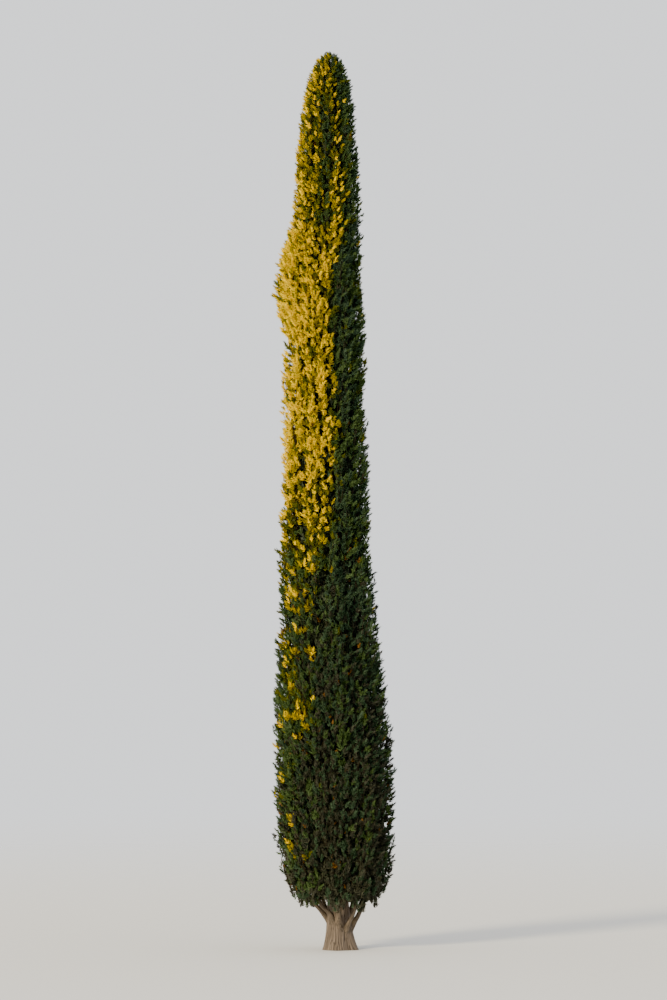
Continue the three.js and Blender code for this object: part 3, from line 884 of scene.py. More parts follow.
def bark_material(name, dark, light, fibre_scale, along_limb=False):
    """Fibrous bark: long grey-brown strips with dark cracks between them, and broad weathered patches."""
    material, tree, shader = blank_material(name)
    where = add_node(tree, "TexCoord", "Object")
    laid = add_node(tree, "Attribute", "Vector", attribute_name="grain") if along_limb else where
    along = add_node(tree, "Mapping", "Vector", {"Vector": laid, "Scale": (1.0, 1.0, 0.06)})
    fine = {"Vector": along, "Scale": fibre_scale, "Detail": 7.0, "Roughness": 0.65}
    fibres = add_node(tree, "TexNoise", "Fac", fine)
    middle = tuple((a + b) / 2 for a, b in zip(dark, light))
    dull = shaded(middle, 0.7)
    strips = ramp(tree, fibres, (0.38, dull), (0.5, middle), (0.62, light))
    coarse = {"Vector": along, "Scale": fibre_scale * 0.6, "Detail": 3.0, "Distortion": 0.25}
    furrows = add_node(tree, "TexNoise", "Fac", coarse)
    from_middle = add_node(tree, "Math", "Value", {0: furrows, 1: 0.5}, operation="SUBTRACT")
    depth = add_node(tree, "Math", "Value", {0: from_middle}, operation="ABSOLUTE")
    cracks = ramp(tree, depth, (0.0, dark), (0.025, dull), (0.06, (1.0, 1.0, 1.0)))
    patches = add_node(tree, "TexNoise", "Fac", {"Vector": where, "Scale": 2.3, "Detail": 3.0})
    weathered = ramp(tree, patches, (0.4, shaded(light, 0.7)), (0.65, shaded(light, 1.15)))
    mixed = mixed_colors(tree, "MIX", 0.22, strips, weathered)
    height = add_node(tree, "Math", "Value", {0: depth, 1: 4.0, 2: fibres}, operation="MULTIPLY_ADD")
    relief = {"Height": height, "Strength": 0.8, "Distance": 0.02}
    gloss = {"Value": fibres, "To Min": 0.8, "To Max": 0.97}
    finish = {
        "Base Color": mixed_colors(tree, "DARKEN", 1.0, mixed, cracks),
        "Normal": add_node(tree, "Bump", "Normal", relief),
        "Roughness": add_node(tree, "MapRange", "Result", gloss),
        "Specular IOR Level": 0.2,
    }
    feed(tree, shader, finish)
    return material


def floor_material(color, fade_start, fade_end):
    """A matt pale floor that thins out into the backdrop at its rim."""
    material, tree, shader = blank_material("pale_floor")
    feed(tree, shader, {"Base Color": (*color, 1.0), "Roughness": 0.9})
    where = add_node(tree, "TexCoord", "Object")
    distance = add_node(tree, "VectorMath", "Value", {0: where}, operation="LENGTH")
    run = {"Value": distance, "From Min": fade_start, "From Max": fade_end}
    fade = add_node(tree, "MapRange", "Result", run, interpolation_type="SMOOTHSTEP")
    clear = add_node(tree, "BsdfTransparent", "BSDF")
    blend = add_node(tree, "MixShader", "Shader", {"Fac": fade, 1: shader.outputs["BSDF"], 2: clear})
    feed(tree, tree.nodes["Material Output"], {"Surface": blend})
    return material


# Sizes and colours that a user may change


def size_setting(title, description, size, unit="LENGTH"):
    return FloatProperty(name=title, description=description, default=size, unit=unit)


def count_setting(title, description, count):
    return IntProperty(name=title, description=description, default=count)


def color_setting(title, description, color):
    return FloatVectorProperty(name=title, description=description, default=color, subtype="COLOR")


class WoodSettings(PropertyGroup):
    """Bark and limbs."""

    relief: size_setting("Bark relief", "Depth of the bark's ridges", 0.016)
    trunk_sides: count_setting("Trunk sides", "Faces round the trunk", 150)
    trunk_rings: count_setting("Trunk rings", "Rings of faces up the trunk", 160)
    twig_radius: size_setting("Twig radius", "Radius of a plume's twig at its foot", 0.009)
    bark_dark: color_setting("Bark cracks", "Colour between the strips", (0.042, 0.03, 0.022))
    bark_light: color_setting("Bark strips", "Colour of the weathered strips", (0.19, 0.145, 0.11))
    limb_dark: color_setting("Limb cracks", "Dark colour of limbs", (0.036, 0.027, 0.02))
    limb_light: color_setting("Limb bark", "Light colour of limbs", (0.19, 0.145, 0.105))


class FoliageSettings(PropertyGroup):
    """Plumes and sprays."""

    cover_plumes: count_setting("Cover plumes", "Finer plumes of each mass, between its large sprays", 30)
    cover_length: size_setting("Cover plume length", "Full length of a finer plume", 0.72)
    tuft_step: size_setting("Tuft step", "Distance between the tufts of a plume", 0.066)
    tuft_length: size_setting("Tuft length", "Length of a tuft at the foot of a plume", 0.175)
    skin_tufts: count_setting("Skin tufts", "Tufts that cover each mass between its plumes", 140)
    under_tufts: count_setting("Under tufts", "Most tufts that close gaps and grooves", 14500)
    dome_tufts: count_setting("Dome tufts", "Tufts over the summit", 260)
    inner_tufts: count_setting("Inner tufts", "Shaded tufts inside the crown", 11500)
    # Which of deep, green, olive, tawny and gold a tuft gets is painted light and shade: deep and dusky for
    # painted shade, tawny and gold for painted sunlight, gold also for the yellower new growth. Brown is dead
    # sprays.
    deep: color_setting("Deep green", "Shaded foliage", (0.049, 0.077, 0.046))
    dusky: color_setting("Dusky", "Shaded foliage low down", (0.055, 0.056, 0.041))
    green: color_setting("Green", "Mid foliage", (0.062, 0.094, 0.036))
    olive: color_setting("Olive", "Yellowish foliage", (0.1, 0.105, 0.006))
    tawny: color_setting("Tawny", "Sunned foliage", (0.36, 0.27, 0.0))
    gold: color_setting("Gold", "Newest, sunniest sprays", (0.78, 0.565, 0.0))
    brown: color_setting("Brown", "Dead sprays", (0.22, 0.11, 0.03))
    inner: color_setting("Inner shade", "Sprays inside the crown", (0.045, 0.054, 0.036))


class StageSettings(PropertyGroup):
    """Floor, light and camera."""

    floor_radius: size_setting("Floor radius", "Radius of the floor", 60.0)
    floor_color: color_setting("Floor", "Colour of the floor", (0.66, 0.64, 0.6))
    sky_color: color_setting("Backdrop", "Colour of the backdrop and the soft fill", (0.8, 0.815, 0.83))
    sky_strength: size_setting("Fill", "Strength of the soft fill", 2.7, "NONE")
    key_color: color_setting("Key colour", "Colour of the key light", (1.0, 0.87, 0.58))
    key_strength: size_setting("Key", "Strength of the key light", 9.0, "NONE")
    camera_distance: size_setting("Camera distance", "From the tree's middle", 200.0)
    camera_rise: size_setting("Camera rise", "Angle above the horizontal", math.radians(1.5), "ROTATION")


# Bark


def bark_ridges(angle, height):
    """The depth of the bark's strips, 0 to 1, at directions and heights on the trunk."""
    twist = BARK_TWIST * height + BARK_SWAY[0] * np.sin(BARK_SWAY[1] * height)
    depth = 0
    for strips, wander, pace, weight in BARK_STRIPS:
        sway = wander * np.sin(pace * height + 2 * np.sin(angle) + strips)
        depth = depth + weight * (1 - np.abs(np.sin(strips / 2 * angle + twist + sway)))
    plates = 0.5 + 0.5 * np.sin(PLATE_PACE * height + 3 * np.sin(3 * angle + height))
    return depth * (1 - PLATE_DEPTH + PLATE_DEPTH * plates)


def trunk_mesh(settings):
    """The trunk from its flat cut to its top with the bark's relief, and its grain."""
    sides, rings = settings.trunk_sides, settings.trunk_rings
    height = np.linspace(0, 1, rings) ** RING_GROWTH * TRUNK_TOP
    height, angle = np.meshgrid(height, ring_angles(sides), indexing="ij")
    relief = settings.relief * (bark_ridges(angle, height) - RIDGE_MIDDLE)
    radius = trunk_radius(height, angle)
    radius = radius + relief * np.clip(radius / FULL_RELIEF_RADIUS, LEAST_RELIEF, 1)
    points = (axis_at(height) + flat_vector(radius, angle)).reshape(-1, 3)
    ring = np.arange(sides)
    cut = fan(ring, len(points))[:, [1, 0, 2]]
    cap = fan(ring + (rings - 1) * sides, len(points) + 1)
    points = np.vstack([points, axis_at(0.0), axis_at(TRUNK_TOP)])
    grain = (flat_vector(TRUNK_RADIUS, angle) + height[..., None] * UP).reshape(-1, 3)
    faces = np.concatenate([walls(rings, sides), cut, cap])
    return points, faces, np.vstack([grain, 0 * UP, TRUNK_TOP * UP])


def bough_mesh(space, number):
    """A bough with a little of the bark's relief, and its grain, which lies apart from the other boughs'."""
    path = smooth_curve(limb_points(space), BOUGH_STEPS + 1)
    off, _ = off_axis(path)
    bare = np.maximum(np.hypot(off[:, 0], off[:, 1]) - trunk_radius(path[:, 2]), 0)
    radii = limb_radii(space, BOUGH_STEPS + 1) * (1 + BOUGH_SWELL * np.exp(-bare / BOUGH_SWELL_REACH))
    kept = round(BOUGH_SHARE * BOUGH_STEPS) + 1
    path, radii = path[:kept], radii[:kept]
    points, faces = tubes(path[None], radii[None], BOUGH_SIDES)
    ring = np.tile(ring_angles(BOUGH_SIDES), kept)
    along = np.repeat(np.linspace(0, BOUGH_BARK, kept), BOUGH_SIDES)
    uneven = BOUGH_UNEVENNESS * np.sin(3 * along + ring)
    swell = 1 + BOUGH_RELIEF * (bark_ridges(ring, along) - 0.5) + uneven
    centre = np.repeat(path, BOUGH_SIDES, axis=0)
    straight = np.outer(np.repeat(lengths_along(path), BOUGH_SIDES), UP)
    grain = flat_vector(np.repeat(radii, BOUGH_SIDES), ring) + straight + [number, 0, 0]
    return centre + (points - centre) * swell[:, None], faces, grain


class CYPRESS_OT_trunk_and_boughs(Operator):
    """Makes the barked trunk and the low boughs"""

    bl_idname = "cypress.trunk_and_boughs"
    bl_label = "Trunk and boughs"

    def execute(self, context):
        wood = context.scene.cypress_wood
        bark = bark_material("trunk_bark", wood.bark_dark, wood.bark_light, TRUNK_FIBRES, True)
        points, faces, grain = trunk_mesh(wood)
        dressed(mesh_object("trunk_bark", points, faces, bark, grain=grain), ["trunk"])
        bark = bark_material("limb_bark", wood.limb_dark, wood.limb_light, BOUGH_FIBRES, True)
        boughs = [bough_mesh(space, number) for number, space in enumerate(mass_spaces()[:COLUMNS])]
        points, faces = joined([bough[:2] for bough in boughs])
        grain = np.concatenate([bough[2] for bough in boughs])
        piece = mesh_object("bough_bark", points, faces, bark, grain=grain)
        dressed(piece, [f"bough_{number + 1}" for number in range(COLUMNS)])
        return {"FINISHED"}


# Plumes


class Plumes(NamedTuple):
    """Many plumes as arrays."""

    feeder: np.ndarray  # where each twig starts
    foot: np.ndarray  # of the leafy part
    heading: np.ndarray
    across: np.ndarray
    length: np.ndarray
    tone: np.ndarray
    dead: np.ndarray

    def at(self, share, which=slice(None)):
        """Points and directions at shares of the plumes' lengths: each plume bends a little upright."""
        length = self.length[which][:, None]
        share = np.reshape(share, (-1, 1))
        lift = UP * (PLUME_RISE * share * share) * length
        points = self.foot[which] + self.heading[which] * share * length + lift
        return points, unit(self.heading[which] + UP * 2 * PLUME_RISE * share)

    def all_at(self, share):
        return self.at(np.full(len(self.length), share))


def feeders(carrier, foot, drop):
    """Where each twig leaves the carrier: a little lower than its foot."""
    height = np.maximum(foot[:, 2] - drop, np.minimum(foot[:, 2], HEM + FEEDER_RISE))
    return interpolated(np.clip(height, carrier[0, 2], carrier[-2, 2]), carrier[:, 2], carrier)


def side_plumes(plumes, seeds):
    """The plumes that leave a large plume part way up, towards its outline's teeth and round it."""
    several = []
    for k, (share, aside, size, spin) in enumerate(SIDE_PLUMES):
        foot, heading = plumes.all_at(share)
        angle = (spin + swung(0.5, seeds, 20 + k))[:, None]
        face = np.cross(heading, plumes.across)
        out = unit(plumes.across * np.cos(angle) + face * np.sin(angle))
        lean = (aside * (0.8 + 0.4 * chance(seeds, 30 + k)))[:, None]
        leaning = unit(heading * np.cos(lean) + out * np.sin(lean))
        length = plumes.length * size * (0.85 + 0.3 * chance(seeds, 40 + k))
        tone = plumes.tone + swung(0.1, seeds, 50 + k)
        several.append(Plumes(foot, foot, leaning, unit(np.cross(leaning, UP)), length, tone, plumes.dead))
    grown = Plumes(*stacked(several))
    end, _ = grown.all_at(1.0)
    return Plumes(*only(grown, plan_of(end)[2] < SIDE_PLUME_REACH))


def rope_relief(around, height):
    """How far the upright ropes of foliage stand out or lie back, in tone: it sets the grooves back, and
    paints shade in them and light on the ridges.
    """
    relief = 0.0
    for count, sway, difference in ROPES:
        relief = relief + difference * np.sin(count * around + sway * np.sin(height) + count)
    return relief


def sun_side(around, height):
    """1 on the sides that get painted sunlight, 0 on those that get painted shade, with a soft edge."""
    toward = -(np.cos(around) * SUNNY_SIDE[0] + np.sin(around) * SUNNY_SIDE[1])
    edge = np.interp(height, SHADE_EDGE_HEIGHTS, SHADE_EDGES)
    return eased((toward - edge) / SHADE_BLUR + 0.5)


def plume_tones(points, seeds):
    """Each plume's tone, which paints sunlight and shade into its colour: from 0 for the deepest painted
    shade to 1 for gold, by side, height and chance.
    """
    height = points[:, 2]
    _, around = off_axis(points)
    # Painted sunlight on the sunned side, painted shade on the other and in the groove, and painted sunlight
    # on the streaks and gleams
    side = sun_side(around, height)
    sunned = np.interp(height, SUNNED_HEIGHTS, SUNNED_TONES)
    groove = hump(around, GROOVE_SIDE, GROOVE_WIDTH) * faded(height, GROOVE_HEIGHTS)
    streak = STREAK_TONE * (chance(seeds, 13) < STREAKS) * eased(np.interp(height, STREAK_HEIGHTS, (0.1, 1)))
    shaded_tone = np.interp(height, SHADED_HEIGHTS, SHADED_TONES)
    lit = np.clip((sunned - shaded_tone) * side - GROOVE_SHADE * groove, 0, 1)
    gleam = 0.0
    for heights, sides, width, strength in GLEAMS:
        middle = np.interp(height, (heights[0], heights[-1]), sides)
        gleam = gleam + strength * hump(around, middle, width) * faded(height, heights)
    uneven = PATCHES * np.sin(3 * around + 1.9 * height) * np.cos(2 * around - 1.3 * height)
    uneven = uneven + rope_relief(around, height) + swung(MOTTLE, seeds, 11)
    return shaded_tone + lit + uneven * between(0.6, 1, lit) + streak + gleam


def grow_plumes(settings):
    """Every plume of the crown: the source's large sprays, their side plumes, and finer ones between them."""
    large, small, sides = [], [], []

    def add(kind, space, sprays, seeds, carrier, drop):
        plumes, seeds = fitted_plumes(space, *sprays, seeds + np.arange(len(sprays[0])))
        kind.append(plumes._replace(feeder=feeders(carrier, plumes.foot, drop[0] + drop[1] * plumes.length)))
        if kind is large:
            sides.append(side_plumes(plumes, seeds))

    kinds = (
        (large, SPRAYS_PER_MASS, 0, SPRAY_LEVELS, SPRAY_SPREAD, SPRAY_LENGTH),
        (small, settings.cover_plumes, COVER_SEEDS, COVER_LEVELS, COVER_SPREAD, settings.cover_length),
    )
    for space in mass_spaces():
        points = limb_points(space)
        limb = smooth_curve(points, CARRIER_POINTS)
        carrier = np.vstack([limb[limb[:, 2] > points[-2][2] - 0.02][:-1], leading_branch(space)])
        for kind, count, first, levels, spread, full_length in kinds:
            seeds = first + 100 * space.seed
            sprays = seated_sprays(space, count, seeds, levels, spread, full_length)
            add(kind, space, sprays, seeds, carrier, FEEDER_DROP)
    tip = tip_space()
    stem = axis_at(np.linspace(TIP_STEM_FOOT, TIP_CORE_TOP, CARRIER_POINTS))
    kinds = (
        (large, TIP_SPRAYS, TIP_SEEDS, TIP_SPRAY_HEIGHTS, SPRAY_LENGTH),
        (small, 2 * settings.cover_plumes, TIP_COVER_SEEDS, COVER_TIP_HEIGHTS, settings.cover_length),
    )
    for kind, count, seeds, heights, full_length in kinds:
        add(kind, tip, tip_sprays(tip, count, seeds, heights, full_length), seeds, stem, TIP_FEEDER_DROP)
    large.append(leading_shoot())
    sides.append(side_plumes(large[-1], np.array([LEADER_SEED])))
    return Plumes(*stacked(large + small)), Plumes(*stacked(sides))


def fitted_plumes(space, seat, heading, across, full, seeds):
    """The plumes that a space has room for, and their seeds."""
    length = fitted_lengths(space, seat, heading, across, full)
    lowest = np.maximum(hem_height(seat), HEM) + HEM_CLEAR
    kept = (length > 0) & (seat[:, 2] - SPRAY_SINK * length > lowest)
    seat, heading, across, length, seeds = only((seat, heading, across, length, seeds), kept)
    foot = seat - heading * SPRAY_SINK * length[:, None]
    tone = plume_tones(seat, seeds)
    return Plumes(foot, foot, heading, across, length, tone, dead_plumes(seat, seeds)), seeds


def dead_plumes(points, seeds):
    """A few plumes are dead and brown, most of them in the lower middle of the crown."""
    often, more = DEAD_SHARES
    return chance(seeds, 12) < often + more * hump(points[:, 2], DEAD_HEIGHT, DEAD_REACH)


def leading_shoot():
    """The plume that ends the tree."""
    summit = axis_at(np.array([TREE_HEIGHT]))
    heading = unit(summit - axis_at(np.array([TIP_CORE_TOP])))
    foot = summit - heading * LEADER
    across = np.array([[1.0, 0.0, 0.0]])
    length = np.array([LEADER * LEADER_LEAFY])
    return Plumes(foot, foot, heading, across, length, np.array([0.5]), np.array([False]))


# Tufts


def tuft_template(leaflets, width, seed):
    """One tuft, pointing along X and 1 long: slender pointed leaflets that lean forward round a stalk."""
    rng = np.random.default_rng(seed)
    points = []
    for k in range(leaflets):
        share = (k + 0.5) / leaflets
        spin = GOLDEN_ANGLE * k + rng.uniform(-0.4, 0.4)
        lean = between(*LEAFLET_LEANS, share) * rng.uniform(0.85, 1.15)
        length = between(*LEAFLET_LENGTHS, share) * rng.uniform(0.85, 1.2)
        aside = np.array([0, math.cos(spin), math.sin(spin)])
        heading = np.array([math.cos(lean), 0, 0]) + math.sin(lean) * aside
        root = np.array([LEAFLET_STALK * share, 0, 0])
        over = unit(np.cross(heading, aside))
        roll = rng.uniform(-LEAFLET_ROLL, LEAFLET_ROLL)
        across = over * math.cos(roll) + np.cross(heading, over) * math.sin(roll)
        points += [root - length * width * across, root + length * width * across, root + length * heading]
    return np.array(points), np.arange(3 * leaflets).reshape(-1, 3)


def tufts_along(plumes, step, tuft_length, first, seed):
    """Tufts in a golden spiral up each plume: roots, headings, lengths, tones and whether they are dead."""
    rng = np.random.default_rng(seed)
    counts = np.maximum(3, np.round(plumes.length * (1 - first) / step)).astype(int)
    which = np.repeat(np.arange(len(counts)), counts)
    order = np.arange(len(which)) - np.repeat(np.cumsum(counts) - counts, counts)
    share = first + (1 - first) * (order + 0.7) / counts[which]
    last = order == counts[which] - 1
    size = tuft_length * between(*TUFT_TAPER, share) * rng.uniform(0.82, 1.18, len(which))
    root, along = plumes.at(np.where(last, 1.0, share), which)
    over = unit(np.cross(along, plumes.across[which]))
    across = np.cross(over, along)
    spin = (GOLDEN_ANGLE * order + 5 * plumes.length[which] + rng.uniform(-0.3, 0.3, len(which)))[:, None]
    lean = np.where(last, 0.05, between(*TUFT_LEANS, share) + rng.uniform(-0.12, 0.12, len(which)))[:, None]
    heading = unit(along * np.cos(lean) + (over * np.cos(spin) + across * np.sin(spin)) * np.sin(lean))
    root = root - heading * (np.where(last, 0.85, 0.25) * size)[:, None]
    tone = plumes.tone[which]
    uneven = rng.normal(0, 1, len(which)) * between(0.04, 0.09, tone)
    # Tone rises towards the tip: partly new growth, partly painted light
    return root, heading, size, tone + TONE_RISE * (share - 0.6) + uneven, plumes.dead[which]


def along_tufts(share, root, heading, size):
    return root + heading * (share * size)[:, None]


def dome_share(height):
    """How much of the crown's radius is left near the summit, which is rounded off."""
    depth = np.maximum(TREE_HEIGHT - height, 0)
    return np.minimum(1, np.sqrt(depth / DOME) / np.maximum(crown_radius(height, 0.0), 0.001))


def even_heights(count, low, high, sizes):
    """Heights that spread tufts of some sizes evenly over the crown's surface."""
    heights = np.linspace(low, high, 200)
    crowd = np.cumsum(crown_radius(heights, 0.0) * dome_share(heights) / sizes(heights) ** 2)
    return np.interp((np.arange(count) + 0.5) / count, crowd / crowd[-1], heights)


def tree_of(points):
    """An index for finding the points near others."""
    index = KDTree(len(points))
    for number, point in enumerate(points):
        index.insert(point, number)
    index.balance()
    return index


def neighbours(points, others, reach):
    """How many others lie within a reach of each point."""
    index = tree_of(others)
    return np.array([len(index.find_range(point, reach)) for point in points])


def foot_share(height):
    """How much of the crown's radius is left near its foot, which is rounded off."""
    low = np.clip(1 - (height - HEM) / FOOT_ROUNDING_HEIGHT, 0, 1)
    return 1 - FOOT_ROUNDING * low * low


def round_crown(height, reaches, purpose, middle=0.0, spread=math.pi):
    """Seats in a golden spiral up the crown, all the way round or on one side, and the tufts' headings."""
    i = np.arange(len(height))
    angle = middle + spread * (2 * (GOLDEN * i % 1) - 1)
    reach = between(*reaches, chance(i, purpose)) * dome_share(height) * foot_share(height)
    seat = axis_at(height) + flat_vector(reach * crown_radius(height, angle), angle)
    tilt, sway = between(0.25, 0.8, chance(i, purpose + 1)), swung(0.6, i, purpose + 2)
    heading, _ = spray_frames(flat_vector(1.0, angle), tilt, sway, 0 * height)
    return seat, heading


def crown_rounds(sizes, *rounds):
    """Seats and headings of several rounds, each given as count, heights, reaches, purpose and any side."""
    found = []
    for count, low, high, *rest in rounds:
        found.append(round_crown(even_heights(count, low, high, sizes), *rest))
    return stacked(found)


def under_tufts(count, others):
    """Tufts that close the gaps and grooves that the others leave."""
    def sizes(height):
        run, least = UNDER_NARROWING
        return np.clip((TREE_HEIGHT - height) / run, least, 1)

    foot = HEM - HEM_DIP
    low, bulge = int(LOW_UNDER_SHARE * count), int(BULGE_SHARE * count)
    seat, heading = crown_rounds(
        sizes,
        (count - low - bulge, foot, SUMMIT, UNDER_REACHES, 65),
        (low, foot, LOW_UNDER_TOP, LOW_UNDER_REACHES, 85),
        (bulge, *BULGE_HEIGHTS, BULGE_REACHES, 75, math.pi, BULGE_SPREAD),
    )
    seeds = UNDER_SEEDS + np.arange(count)
    size = sizes(seat[:, 2]) * between(*UNDER_SIZES, chance(seeds, 73))
    near = neighbours(along_tufts(0.5, seat, heading, size), others, ROOM_REACH)
    tufts = seat, heading, size, plume_tones(seat, seeds), np.zeros(count, bool)
    return only(tufts, near < MOST_IN_ROOM)


def dome_tufts(count):
    """Tufts that round off the summit."""
    i = np.arange(count)
    seeds = DOME_SEEDS + i
    radius, angle = DOME_RADIUS * np.sqrt((i + 0.5) / count), GOLDEN_ANGLE * i
    height = TREE_HEIGHT - DOME_DEPTH - DOME * radius**2
    outwards = flat_vector(1.0, angle)
    heading = unit(UP + outwards * (DOME * radius)[:, None] + 0.3 * flat_vector(1.0, 7 * chance(seeds, 74)))
    seat = axis_at(height) + outwards * radius[:, None]
    size = between(*DOME_TUFT_SIZES, chance(seeds, 73))
    root = along_tufts(-0.5, seat, heading, size)
    return root, heading, size, plume_tones(seat, seeds), np.zeros(count, bool)


def skin_tufts(count):
    """Tufts that cover each mass between its plumes, seated by the source's rule."""
    low, top = SKIN_LEVELS
    found = []
    for space in mass_spaces():
        seeds = SKIN_SEEDS + 1000 * space.seed
        many = int(count * (SKIN_FOOT_MORE if space.lowest else 1))
        levels = (SKIN_FOOT_LEVEL if space.lowest else low, top)
        seat, heading, _, _ = seated_sprays(space, many, seeds, levels, SKIN_SPREAD, 1.0)
        found.append((seat, heading, seeds + np.arange(many)))
    heights = (SKIN_TIP_FOOT, SUMMIT)
    seat, heading, _, _ = tip_sprays(tip_space(), 2 * count, TIP_SKIN_SEEDS, heights, 1.0)
    found.append((seat, heading, TIP_SKIN_SEEDS + np.arange(2 * count)))
    seat, heading, seeds = stacked(found)
    outwards = unit(off_axis(seat)[0])
    heading = unit(heading + outwards * between(0.3, 1.0, chance(seeds, 70))[:, None])
    root = seat + outwards * between(-0.04, 0.06, chance(seeds, 71))[:, None]
    # The skin tufts lying between the plumes get a little painted shade
    tone = plume_tones(seat, seeds) - SKIN_SHADE + swung(0.12, seeds, 72)
    size = between(*SKIN_SIZES, chance(seeds, 73))
    return only((root, heading, size, tone, dead_plumes(seat, seeds)), seat[:, 2] > SKIN_LOWEST)


def inner_tufts(count):
    """Coarse shaded tufts that close the inside of the crown."""
    def sizes(height):
        return INNER_SIZE * crown_radius(height, 0.0) * dome_share(height)

    low = int(LOW_INNER_SHARE * count)
    seat, heading = crown_rounds(
        sizes,
        (count - low, HEM, INNER_TOP, INNER_REACHES, 60),
        (low, HEM, LOW_INNER_TOP, LOW_INNER_REACHES, 95),
    )
    size = sizes(seat[:, 2]) * between(*INNER_SIZES, chance(np.arange(count), 63))
    return only((seat, heading, size), seat[:, 2] > hem_height(seat) + INNER_HEM_CLEAR)


def clump_centres():
    """The middles of the clumps, evenly all over the crown."""
    i = np.arange(CLUMPS)
    height = even_heights(CLUMPS, HEM, TREE_HEIGHT - DOME_DEPTH, np.ones_like)
    angle = GOLDEN_ANGLE * i
    reach = CLUMP_REACH * dome_share(height) * crown_radius(height, angle)
    jitter = CLUMP_JITTER * (2 * np.stack([chance(i, 80 + k) for k in range(3)], 1) - 1)
    return axis_at(height) + flat_vector(reach, angle) + jitter


def clumped(root, heading, size, tone):
    """Tufts drawn into rounded clumps and upright ropes, with gaps between them that lie back and get painted
    shade, and a few clumps with painted sunlight.
    """
    centres = clump_centres()
    index = tree_of(centres)
    middle = along_tufts(0.5, root, heading, size)
    found = [index.find_n(point, 2) for point in middle]
    nearest = np.array([pair[0][1] for pair in found])
    edge = np.array([pair[1][2] - pair[0][2] for pair in found])
    gap = np.clip(1 - edge / CLUMP_EDGE, 0, 1)
    height = middle[:, 2]
    off, around = off_axis(middle)
    outwards = unit(off)
    fanned = unit(middle - centres[nearest] + outwards * CLUMP_BASE)
    heading = unit(heading + CLUMP_ROUNDING * fanned + UPRIGHT * UP)
    set_back = ROPE_RELIEF * np.minimum(rope_relief(around, height), 0) - CLUMP_DEPTH * gap
    tone = tone + swung(CLUMP_TONES, nearest, 83) * between(0.4, 1, tone)
    # Painted sunlight on a few single clumps of the sunny side
    glint = chance(nearest, 84) < np.interp(height, GLINT_HEIGHTS, GLINT_SHARES)
    glint = glint & (sun_side(around, height) > 0.5)
    # The tufts in the gaps get painted shade as well as lying back
    return root + outwards * set_back[:, None], heading, (tone + GLINT * glint) * (1 - GAP_SHADE * gap)


def pulled_in(points, outermost):
    """Points, moved in to a share of the crown's radius where they lie beyond it."""
    off, around = off_axis(points)
    radius = crown_radius(points[:, 2], around) * foot_share(points[:, 2])
    beyond = np.linalg.norm(off, axis=1) - outermost * radius
    return points - unit(off) * np.maximum(beyond, 0)[:, None]


def drawn_in(root, heading, size):
    """The roots of tufts, moved in where the tips would stand out of the crown's outline."""
    tip = along_tufts(1, root, heading, size)
    return root + pulled_in(tip, 1 - DRAWN_IN * chance(np.arange(len(size)), 97)) - tip


def hem_height(points):
    """The height of the crown's lower edge in the directions of points."""
    _, around = off_axis(points)
    return HEM + sum(depth * np.sin(count * around + phase) for count, depth, phase in HEM_WAVES)


def tuft_meshes(root, heading, size, templates, seed):
    """The points and triangles of many tufts, from a few templates dealt by chance."""
    rng = np.random.default_rng(seed)
    over = unit(np.cross(heading, rng.normal(size=heading.shape)))
    across = np.cross(heading, over)
    pick = rng.integers(0, len(templates), len(size))
    parts = []
    for kind, (points, faces) in enumerate(templates):
        mine = pick == kind
        axes = np.stack([heading[mine], over[mine], across[mine]], 1)
        placed = root[mine][:, None] + np.einsum("pk,nkc->npc", points, axes) * size[mine][:, None, None]
        parts.append((placed.reshape(-1, 3), repeated(faces, mine.sum(), len(points))))
    return joined(parts)


def leafy_pieces(name, tufts, templates, material, seed):
    """One or more pieces of one colour, each small enough to hand on."""
    batch = MOST_TRIANGLES // len(templates[0][1])
    order = np.argsort(tufts[0][:, 2], kind="stable")
    batches = max(1, math.ceil(len(order) / batch))
    for number, some in enumerate(np.array_split(order, batches)):
        points, faces = tuft_meshes(*only(tufts, some), templates, seed + number)
        title = name if batches == 1 else f"{name}_{number + 1}"
        dressed(mesh_object(title, points, faces, material, smooth=False), mass_names())


# Limbs and twigs


def tapered(path, radius):
    """A branch that thins out to its tip."""
    return tubes(path[None], np.linspace(radius, BRANCH_TIP, len(path))[None], BRANCH_SIDES)


def crown_limbs():
    """The limbs inside the crown, each with the branch that carries it on, and the leading stem."""
    limbs = []
    for space in mass_spaces():
        path = smooth_curve(limb_points(space), LIMB_STEPS + 1)
        radii = limb_radii(space, LIMB_STEPS + 1)
        hidden = round(BOUGH_SHARE * LIMB_STEPS) if space.lowest else 0
        limbs.append(tubes(path[None, hidden:], radii[None, hidden:], LIMB_SIDES))
        limbs.append(tapered(leading_branch(space), radii[-1]))
    stem = axis_at(np.linspace(TRUNK_TOP - LEADER_SINK, TREE_HEIGHT - LEADER_CLEAR, LEADER_POINTS))
    return joined([*limbs, tapered(stem, LEADER_RADIUS)])


def twigs(path, radius, taper):
    """Twigs along paths, kept within the crown."""
    path = [pulled_in(points, TWIGS_OUTERMOST * dome_share(points[:, 2])) for points in path]
    thick = radius * np.array(taper)
    return tubes(np.stack(path, 1), np.tile(thick, (len(path[0]), 1)), TWIG_SIDES)


def fed_twigs(plumes, radius):
    """Twigs that leave a branch, bend out to a plume's foot and run up through it."""
    start, foot = plumes.feeder, plumes.foot
    span = np.linalg.norm(foot - start, axis=1, keepdims=True)
    aim = unit(foot - start)
    bend = foot - unit(plumes.heading + 2 * aim) * 0.4 * span
    above_hem = np.maximum(hem_height(bend), HEM) + TWIG_HEM_CLEAR
    least = np.maximum(np.minimum(start[:, 2], foot[:, 2]) + 0.02, above_hem)
    bend[:, 2] = np.maximum(bend[:, 2], least)
    path = [(1 - t) ** 2 * start + 2 * t * (1 - t) * bend + t * t * foot for t in (0, 0.5, 1)]
    path += [plumes.all_at(share)[0] for share in (0.5, 0.85)]
    return twigs(path, radius, FED_TWIG_TAPER)


def side_twigs(plumes, radius):
    """Twigs that leave a plume's own twig."""
    return twigs([plumes.all_at(share)[0] for share in (0, 0.5, 0.9)], radius, SIDE_TWIG_TAPER)


